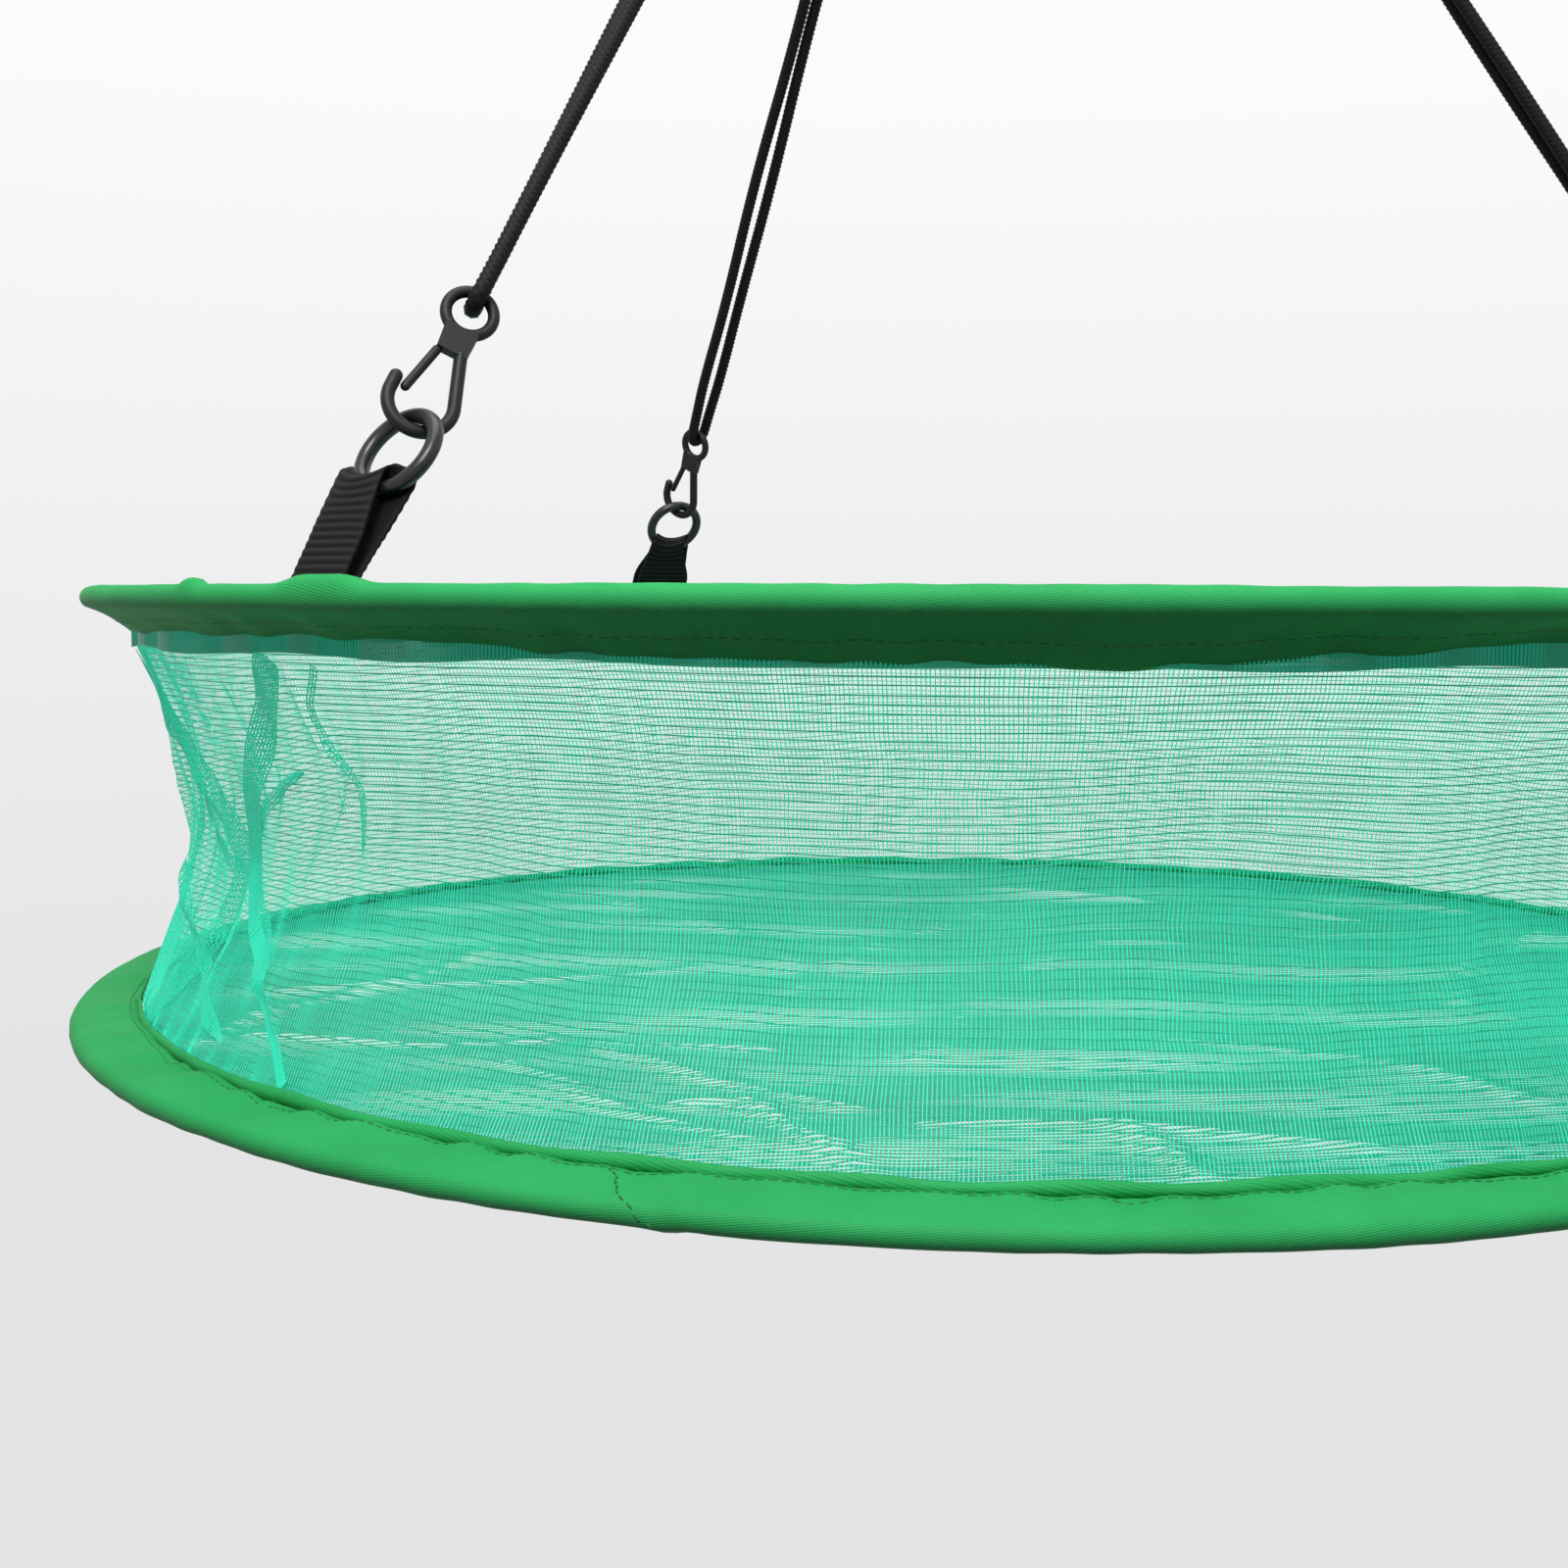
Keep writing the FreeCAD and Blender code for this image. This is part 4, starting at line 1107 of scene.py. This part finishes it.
def bottom_profile(azimuth, settings):
    """The bottom binding's section, which leans inward and up from its wire."""
    crest, fold, under = (np.full((len(azimuth), 2), face) for face in RIM_FACES)
    wrap = [on_sleeve(settings.sleeve, degrees, azimuth) for degrees in RIM_WRAP]
    above = run_between(crest, wrap[0], 6, 0.0007)
    below = run_between(wrap[-1], under, 6, 0.0006)
    return [fold, crest, *above, *wrap, *below, under]


def binding_cloth(name, points, gathers, settings, seed, material):
    """A binding's cloth, gathered most where its gather is 1."""
    azimuth = full_turn(len(points))
    fine = waves(azimuth, seed, 45, 130, 10)
    broad = waves(azimuth, seed + 1, 8, 34, 8)
    strength = 0.45 + 0.55 * eased(0.5 + 0.5 * waves(azimuth, seed + 2, 2, 6, 3))
    amount = settings.pucker * (0.55 * fine * strength + 0.7 * broad)[:, None] * np.array(gathers)[None, :]
    girth = np.linalg.norm(points[0] - np.roll(points[0], 1, 0), axis=1).sum()
    mean = np.hypot(points[..., 0], points[..., 1]).mean()
    return grid_object(
        name, pushed(points, amount), material, loop_u=True, loop_v=True, uv_size=(TURN * mean, girth)
    )


def join_ridge(azimuth, join):
    """The join's relief at each azimuth and point of the section: a ridge, and a dip beside it."""
    away = arc(azimuth[:, None], join, BOTTOM_RADIUS)
    return 0.0003 * np.exp(-((away / 0.0030) ** 2)) - 0.0003 * np.exp(-(((away - 0.0060) / 0.0026) ** 2))


def foot_hem(azimuth, material):
    """The turned edge that stands up round the wall's foot."""
    wave = 0.0005 * waves(azimuth, 81, 20, 70, 8)
    tall = 0.0027 + 0.0004 * waves(azimuth, 82, 7, 40, 8)
    base = BOTTOM_LEVEL + 0.0040
    inner = FLOOR_RADIUS + 0.0003 + wave * 0.4
    outer = inner + 0.0011 + 0.0002 * waves(azimuth, 83, 30, 90, 6)
    corners = (
        (outer, base - 0.0004), (outer + 0.0002, base + tall * 0.5), (outer - 0.0003, base + tall),
        (inner, base + tall + 0.0001), (inner, base + tall * 0.5), (inner, base - 0.0004),
    )
    ring = np.stack([polar(radius, azimuth, level) for radius, level in corners], 1)
    return grid_object(
        "wall_foot_hem", ring, material, loop_u=True, loop_v=True, uv_size=(TURN * FLOOR_RADIUS, 0.008)
    )


def read_points(obj, rows):
    numbers = np.zeros(len(obj.data.vertices) * 3, np.float32)
    obj.data.vertices.foreach_get("co", numbers)
    return numbers.reshape(rows, -1, 3).astype(float)


class NET_OT_bindings(bpy.types.Operator):
    """Sew the cloth sleeves of both hoops, with their gathers, hems and stitches"""

    bl_idname = "net_tray.bindings"
    bl_label = "Bindings"

    def execute(self, context):
        settings = context.scene.net_binding
        cloth = cloth_finish(context.scene.net_colours)
        thread = stitching_finish(context.scene.net_colours)
        group = stitch_tree()
        azimuth = full_turn(BINDING_STEPS)
        tabs = [chain_frame(i)["azimuth"] for i in CHAINS]
        low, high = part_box("side_mesh_seam")
        seam_azimuth = math.atan2((low.y + high.y) / 2, (low.x + high.x) / 2)

        profile = top_profile(azimuth, settings, tabs, seam_azimuth)
        points = ring_surface(azimuth, TOP_RADIUS, TOP_LEVEL, profile)
        top = binding_cloth("top_sleeve_cloth", points, BAND_GATHERS, settings, 61, cloth)

        profile = bottom_profile(azimuth, settings)
        points = ring_surface(azimuth, BOTTOM_RADIUS, BOTTOM_LEVEL, profile)
        # The join crosses the fold, the upper face and the wrap, in as many points as they have.
        crossed = 18
        join = math.radians(JOIN_START) + math.radians(JOIN_SLANT) * np.linspace(0, 1, crossed)
        ridge = np.zeros(points.shape[:2])
        ridge[:, :crossed] = join_ridge(azimuth, join)
        bottom = binding_cloth("bottom_sleeve_cloth", pushed(points, ridge), RIM_GATHERS, settings, 71, cloth)
        hem = foot_hem(azimuth, cloth)

        surface = read_points(bottom, BINDING_STEPS)
        nearest = [round(centre / TURN * BINDING_STEPS) % BINDING_STEPS for centre in join[:14]]
        line = np.array([surface[row, column] for column, row in enumerate(nearest)])
        line = resampled(line + (0, 0, 0.0001), 0.003)[0]
        runs = [path_object("bottom_join_stitches", line, chained(len(line), closed=False))]
        sewn = {
            "Stitch Spacing": settings.stitch_spacing, "Stitch Length": settings.stitch_length,
            "Stitch Radius": settings.stitch_radius, "Material": thread,
        }
        grown(runs[0], group, {**sewn, "Stitch Radius": 1.8 * settings.stitch_radius})
        # A row along one point of each section, a little outward of the top one and above the bottom one.
        for name, piece, column, proud, raised in (
            ("top_seam_stitches", top, 3, 0.0001, 0.0), ("bottom_seam_stitches", bottom, 2, 0.0, 0.0001)
        ):
            line = read_points(piece, BINDING_STEPS)[:, column]
            line = polar(np.hypot(line[:, 0], line[:, 1]) + proud, azimuth, line[:, 2] + raised)
            run = grown(path_object(name, line, chained(len(line), closed=True)), group, sewn)
            run.data.shade_smooth()
            runs.append(run)

        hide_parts("top_binding")
        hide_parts("bottom_binding")
        for piece in (top, runs[1]):
            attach(piece, "net")
        for piece in (bottom, hem, runs[0], runs[2]):
            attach(piece, "tray")
        top_cut = (TURN * TOP_RADIUS, BAND_CUT)
        0.5 * top_cut[0] * top_cut[1]
        bottom_cut = (TURN * BOTTOM_RADIUS, RIM_CUT)
        0.5 * bottom_cut[0] * bottom_cut[1]
        return {"FINISHED"}


# ---------------------------------------------------------------------------------------------------------------------
# The chains


def chain_frame(i):
    """A chain's foot on the top hoop's wire, its directions, and how far up it its ring stands."""
    low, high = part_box(f"tab_ring_{i}")
    ring = (low + high) / 2
    azimuth = math.atan2(ring.y, ring.x)
    outward = Vector((math.cos(azimuth), math.sin(azimuth), 0))
    foot = outward * TOP_RADIUS + Vector((0, 0, TOP_LEVEL))
    along = (ring - foot).normalized()
    side = outward.cross(Vector((0, 0, 1)))
    up = along.cross(side)
    return {"azimuth": azimuth, "foot": foot, "side": side, "up": up, "along": along, "ring": (ring - foot).length}


def webbing_tab(i, settings, material):
    """A ribbed strap from the binding up round the ring and back, its two layers slipped a little apart."""
    chain = chain_frame(i)
    saddle = chain["ring"] - TAB_RING_RADIUS
    reach = TAB_RING_WIRE + 0.00025 + settings.webbing_thickness / 2
    half_turn = [math.radians(d) for d in np.linspace(0, 180, 15)]
    leg = [(0.0016, 0.0022), (0.0022, 0.010), (0.0027, 0.019)]
    bend = [(reach * math.cos(a), saddle + reach * math.sin(a)) for a in half_turn]
    route = np.array(leg + bend + [(-y, z) for y, z in leg[::-1]])
    line = np.concatenate([np.zeros((len(route), 1)), route], 1)
    path, stations = resampled(line, settings.rib_pitch / 9)
    near_ring = eased((path[:, 2] - 0.012) / (saddle - 0.010))
    tangent = unit(np.gradient(path, axis=0))
    normal = np.stack([np.zeros(len(path)), tangent[:, 2], -tangent[:, 1]], -1)
    # The layer outside slips to one side and the layer inside to the other.
    slip = 0.0026 * near_ring * np.clip(path[:, 1] / reach, -1, 1)
    foot_width = settings.webbing_width * TAB_GATHER[i]
    width = foot_width + (settings.webbing_neck - foot_width) * near_ring**1.2
    shares = np.linspace(-1, 1, 15)
    rib = (0.5 + 0.5 * np.cos(stations / settings.rib_pitch * TURN)) ** 0.8
    across = shares[None, :] * width[:, None] / 2
    # The bend lies in the ring, so it curls with the ring's wire.
    held = np.minimum(np.abs(across), 0.0085)
    curl = TAB_RING_RADIUS - np.sqrt(np.clip(TAB_RING_RADIUS**2 - held**2, 0, None))
    sag = 0.0004 * np.sin(shares * 2.2 + i)[None, :] * near_ring[:, None]

    def layer(lift):
        centre = path[:, None, :] + normal[:, None, :] * lift[..., None]
        x = across + (slip + TAB_OFFSET[i])[:, None]
        y = centre[..., 1] + sag
        z = centre[..., 2] + curl * near_ring[:, None] ** 3
        return np.stack([x, y, z], -1)

    edge_soft = 1 - 0.35 * np.abs(shares[None, :]) ** 6
    half = settings.webbing_thickness / 2
    outside = layer((half * 0.75 + 0.00032 * rib[:, None]) * edge_soft)
    inside = layer(-half * 0.75 * edge_soft * np.ones_like(across))
    grid = np.concatenate([outside, inside[:, ::-1]], 1)
    # The inner layer's low rib value paints it mostly in the near-black groove shade.
    rise = np.concatenate([rib[:, None] * np.ones_like(across), np.full_like(across, 0.2)], 1)
    axes = np.array([chain["side"], chain["up"], chain["along"]])
    placed = grid @ axes + np.array(chain["foot"])
    piece = grid_object(
        f"ribbed_tab_{i}", placed, material, loop_v=True, uv_size=(stations[-1], 2 * settings.webbing_width),
        values={"rib": rise},
    )
    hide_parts(f"webbing_tab_{i}")
    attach(piece, "net")


class NET_OT_tabs(bpy.types.Operator):
    """Fold the three webbing tabs round their rings"""

    bl_idname = "net_tray.tabs"
    bl_label = "Webbing Tabs"

    def execute(self, context):
        material = webbing_finish(context.scene.net_colours)
        for i in CHAINS:
            webbing_tab(i, context.scene.net_chain, material)
        return {"FINISHED"}


def smooth_route(name, points):
    """The points of a smooth line through a route, read from a NURBS spline with the route as its control points."""
    curve = bpy.data.curves.new(name, "CURVE")
    curve.dimensions = "3D"
    spline = curve.splines.new("NURBS")
    spline.points.add(len(points) - 1)
    for spot, point in zip(spline.points, points):
        spot.co = (*point, 1.0)
    spline.order_u = 3
    spline.use_endpoint_u = True
    spline.resolution_u = 24
    obj = linked(name, curve)
    mesh = bpy.data.meshes.new_from_object(obj)
    line = np.array([v.co for v in mesh.vertices], float)
    bpy.data.objects.remove(obj)
    bpy.data.meshes.remove(mesh)
    bpy.data.curves.remove(curve)
    return line


class NET_OT_cords(bpy.types.Operator):
    """Braid the three doubled cords between the knot and the hooks"""

    bl_idname = "net_tray.cords"
    bl_label = "Cords"

    def execute(self, context):
        settings = context.scene.net_chain
        material = cord_finish(context.scene.net_colours)
        for i in CHAINS:
            line = smooth_route(f"cord_route_{i}", CORD_ROUTES[i])
            piece = braided_tube(
                f"braided_cord_{i}", line, settings.cord_diameter / 2, settings.braid_pitch, material
            )
            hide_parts(f"hanging_cord_{i}")
            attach(piece, "net")
        return {"FINISHED"}


class NET_OT_knot(bpy.types.Operator):
    """Wind the knot that gathers the cords, with its three loops over the hanging ring"""

    bl_idname = "net_tray.knot"
    bl_label = "Knot"

    def execute(self, context):
        settings = context.scene.net_chain
        material = cord_finish(context.scene.net_colours, "black_knotted_cord")
        radius = settings.cord_diameter / 2
        low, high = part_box("hanging_ring")
        wire = (high.y - low.y) / 2
        ring_radius = high.z - wire
        loop_radius = wire + radius + 0.0006
        parts = []

        def braid(name, path):
            parts.append(braided_tube(name, path, radius, settings.braid_pitch, material))

        over = [math.radians(d) for d in np.linspace(-50, 230, 33)]
        for number, x in enumerate(LOOP_PLACES):
            centre = low.z + wire + ring_radius - math.sqrt(ring_radius**2 - x**2)
            loop = [(x, loop_radius * math.cos(a), centre + loop_radius * math.sin(a)) for a in over]
            feet = [(x * 0.8, 0.0031, KNOT_FOOT + 0.017), (x * 0.8, 0.0030, KNOT_FOOT + 0.0145)]
            braid(f"loop_{number}", feet[::-1] + loop + [(a, -b, c) for a, b, c in feet])
        # The wrapping turns, barrel-shaped, from under the loops down to where the cords come out.
        turns, steps, tuck = 3.6, 150, 6
        shares = np.linspace(0, 1, steps)
        level = KNOT_FOOT + 0.0180 - 0.0158 * shares
        swell = 0.0055 + 0.0023 * np.sin(math.pi * (0.12 + 0.76 * shares)) ** 0.8
        swell[:tuck] *= np.linspace(0.55, 1, tuck)
        swell[-tuck:] *= np.linspace(1, 0.62, tuck)
        braid("wrap", polar(swell, shares * turns * TURN + 0.6, level))
        # The cords' own ends, run up into the middle of the knot.
        for i in CHAINS:
            for number, (x, y, z) in enumerate((CORD_ROUTES[i][0], CORD_ROUTES[i][-1])):
                braid(f"leg_{i}_{number}", [(x * s, y * s, z + up) for s, up in ((1, 0), (0.86, 0.005), (0.72, 0.011))])
        knot = joined_object("gathering_knot", parts)
        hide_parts("top_knot")
        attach(knot, "net")
        return {"FINISHED"}


class NET_OT_hardware(bpy.types.Operator):
    """Give the rings, hooks, gates, hoop wires and ferrules their finishes"""

    bl_idname = "net_tray.hardware"
    bl_label = "Rings, Hooks and Wires"

    def execute(self, context):
        colours = context.scene.net_colours
        plastic, painted = plastic_finish(colours), painted_finish(colours)
        wire = bright_finish("spring_steel_wire", WIRE_GREY, 0.30)
        ferrule = bright_finish("crimped_aluminium", FERRULE_GREY, 0.34)
        finishes = {"hanging_ring": bright_finish("polished_steel_ring", colours.steel, 0.16)}
        for hoop in ("top", "bottom"):
            finishes[f"{hoop}_hoop_wire"] = wire
            finishes[f"{hoop}_hoop_ferrule"] = ferrule
        for i in CHAINS:
            finishes[f"snap_hook_{i}"] = plastic
            finishes[f"hook_gate_{i}"] = plastic
            finishes[f"tab_ring_{i}"] = painted
        for name, material in finishes.items():
            for slot in frame["nodes"][name].material_slots:
                slot.material = material
        return {"FINISHED"}


# ---------------------------------------------------------------------------------------------------------------------
# The stage


def backdrop_finish(colours):
    """A backdrop that only glows, paler towards its top."""
    finish = Finish("pale_backdrop")
    parts = finish.node("ShaderNodeSeparateXYZ", inputs={"Vector": finish.position()})
    height = (Value(finish, parts.outputs["Z"]) * 0.62 + 0.72).limited()
    glow = finish.blend(height, rgba(colours.backdrop, 0.90), rgba(colours.backdrop, 1.12))
    return finish.surface(
        Base_Color=(0.0, 0.0, 0.0, 1), Roughness=1.0, Specular_IOR_Level=0.0, Emission_Color=glow,
        Emission_Strength=1.0,
    )


def soft_light(name, place, size, power, target):
    light = bpy.data.lights.new(name, "AREA")
    light.shape = "DISK"
    light.size = size
    light.energy = power
    obj = linked(name, light)
    obj.location = place
    obj.rotation_euler = (Vector(target) - Vector(place)).to_track_quat("-Z", "Y").to_euler()


def placed_camera():
    """A camera at CAMERA_PLACE, turned by CAMERA_TURNS."""
    camera = linked("camera", bpy.data.cameras.new("camera"))
    camera.data.lens = CAMERA_LENS
    camera.data.sensor_width = 36
    camera.data.clip_start = 0.01
    camera.data.clip_end = 50
    heading, pitch, roll = CAMERA_TURNS
    ahead = Vector((math.sin(heading) * math.cos(pitch), math.cos(heading) * math.cos(pitch), -math.sin(pitch)))
    right = Vector((math.cos(heading), -math.sin(heading), 0))
    up = right.cross(ahead)
    right, up = right * math.cos(roll) + up * math.sin(roll), up * math.cos(roll) - right * math.sin(roll)
    turned = Matrix((right, up, -ahead)).transposed().to_4x4()
    turned.translation = CAMERA_PLACE
    camera.matrix_world = turned
    return camera


class NET_OT_stage(bpy.types.Operator):
    """Set the pale backdrop, the soft lights and the camera"""

    bl_idname = "net_tray.stage"
    bl_label = "Stage"

    def execute(self, context):
        scene = context.scene
        # A wide shallow bowl: a flat floor with a cove all round, so that it looks the same from every side.
        quarter = np.linspace(0, math.pi / 2, 12)
        cove = [(BOWL_FLAT + BOWL_COVE * math.sin(a), BOWL_LEVEL + BOWL_COVE * (1 - math.cos(a))) for a in quarter]
        profile = [(0.02, BOWL_LEVEL), (BOWL_FLAT / 2, BOWL_LEVEL), *cove, (BOWL_FLAT + BOWL_COVE, BOWL_TOP)]
        grid = np.array([polar(radius, full_turn(96), level) for radius, level in profile])
        inward = -grid * (1, 1, 0) + (0, 0, 1)
        bowl = grid_object("backdrop_bowl", grid, backdrop_finish(scene.net_colours), loop_v=True, outward=inward)
        bowl.visible_diffuse = False
        bowl.visible_shadow = False

        world = bpy.data.worlds.new("studio")
        world.use_nodes = True
        world.node_tree.nodes.clear()
        tree = Tree(world.node_tree)
        sky = tree.output("ShaderNodeBackground", inputs={"Color": (1, 1, 1, 1), "Strength": SKY_STRENGTH})
        tree.node("ShaderNodeOutputWorld", inputs={"Surface": sky})
        scene.world = world
        for name, (place, size, power) in SOFTBOXES.items():
            soft_light(name, place, size, power, target=(0, 0, BOTTOM_LEVEL + 0.06))
        scene.camera = placed_camera()
        scene.view_settings.view_transform = "Standard"
        return {"FINISHED"}


class NET_PT_sidebar(bpy.types.Panel):
    """Lists the steps that build the tray"""

    bl_idname = "NET_PT_sidebar"
    bl_label = "Net Tray"
    bl_space_type = "VIEW_3D"
    bl_region_type = "UI"
    bl_category = "Net Tray"

    def draw(self, context):
        for operator in OPERATORS:
            self.layout.operator(operator.bl_idname)
        for group in GROUPS:
            settings = getattr(context.scene, group)
            for name in settings.bl_rna.properties.keys():
                if name not in ("rna_type", "name"):
                    self.layout.prop(settings, name)


GROUPS = {
    "net_netting": NettingSettings,
    "net_binding": BindingSettings,
    "net_chain": ChainSettings,
    "net_colours": ColourSettings,
}
OPERATORS = (
    NET_OT_stage, NET_OT_cords, NET_OT_knot, NET_OT_tabs, NET_OT_hardware, NET_OT_bindings, NET_OT_netting,
)


def register():
    for made in (*GROUPS.values(), *OPERATORS, NET_PT_sidebar):
        bpy.utils.register_class(made)
    for name, group in GROUPS.items():
        setattr(bpy.types.Scene, name, bpy.props.PointerProperty(type=group))


def unregister():
    for name in GROUPS:
        delattr(bpy.types.Scene, name)
    for made in (NET_PT_sidebar, *OPERATORS[::-1], *reversed(GROUPS.values())):
        bpy.utils.unregister_class(made)


def main():
    register()
    for operator in OPERATORS:
        group, name = operator.bl_idname.split(".")
        getattr(getattr(bpy.ops, group), name)()


if __name__ == "__main__":
    main()
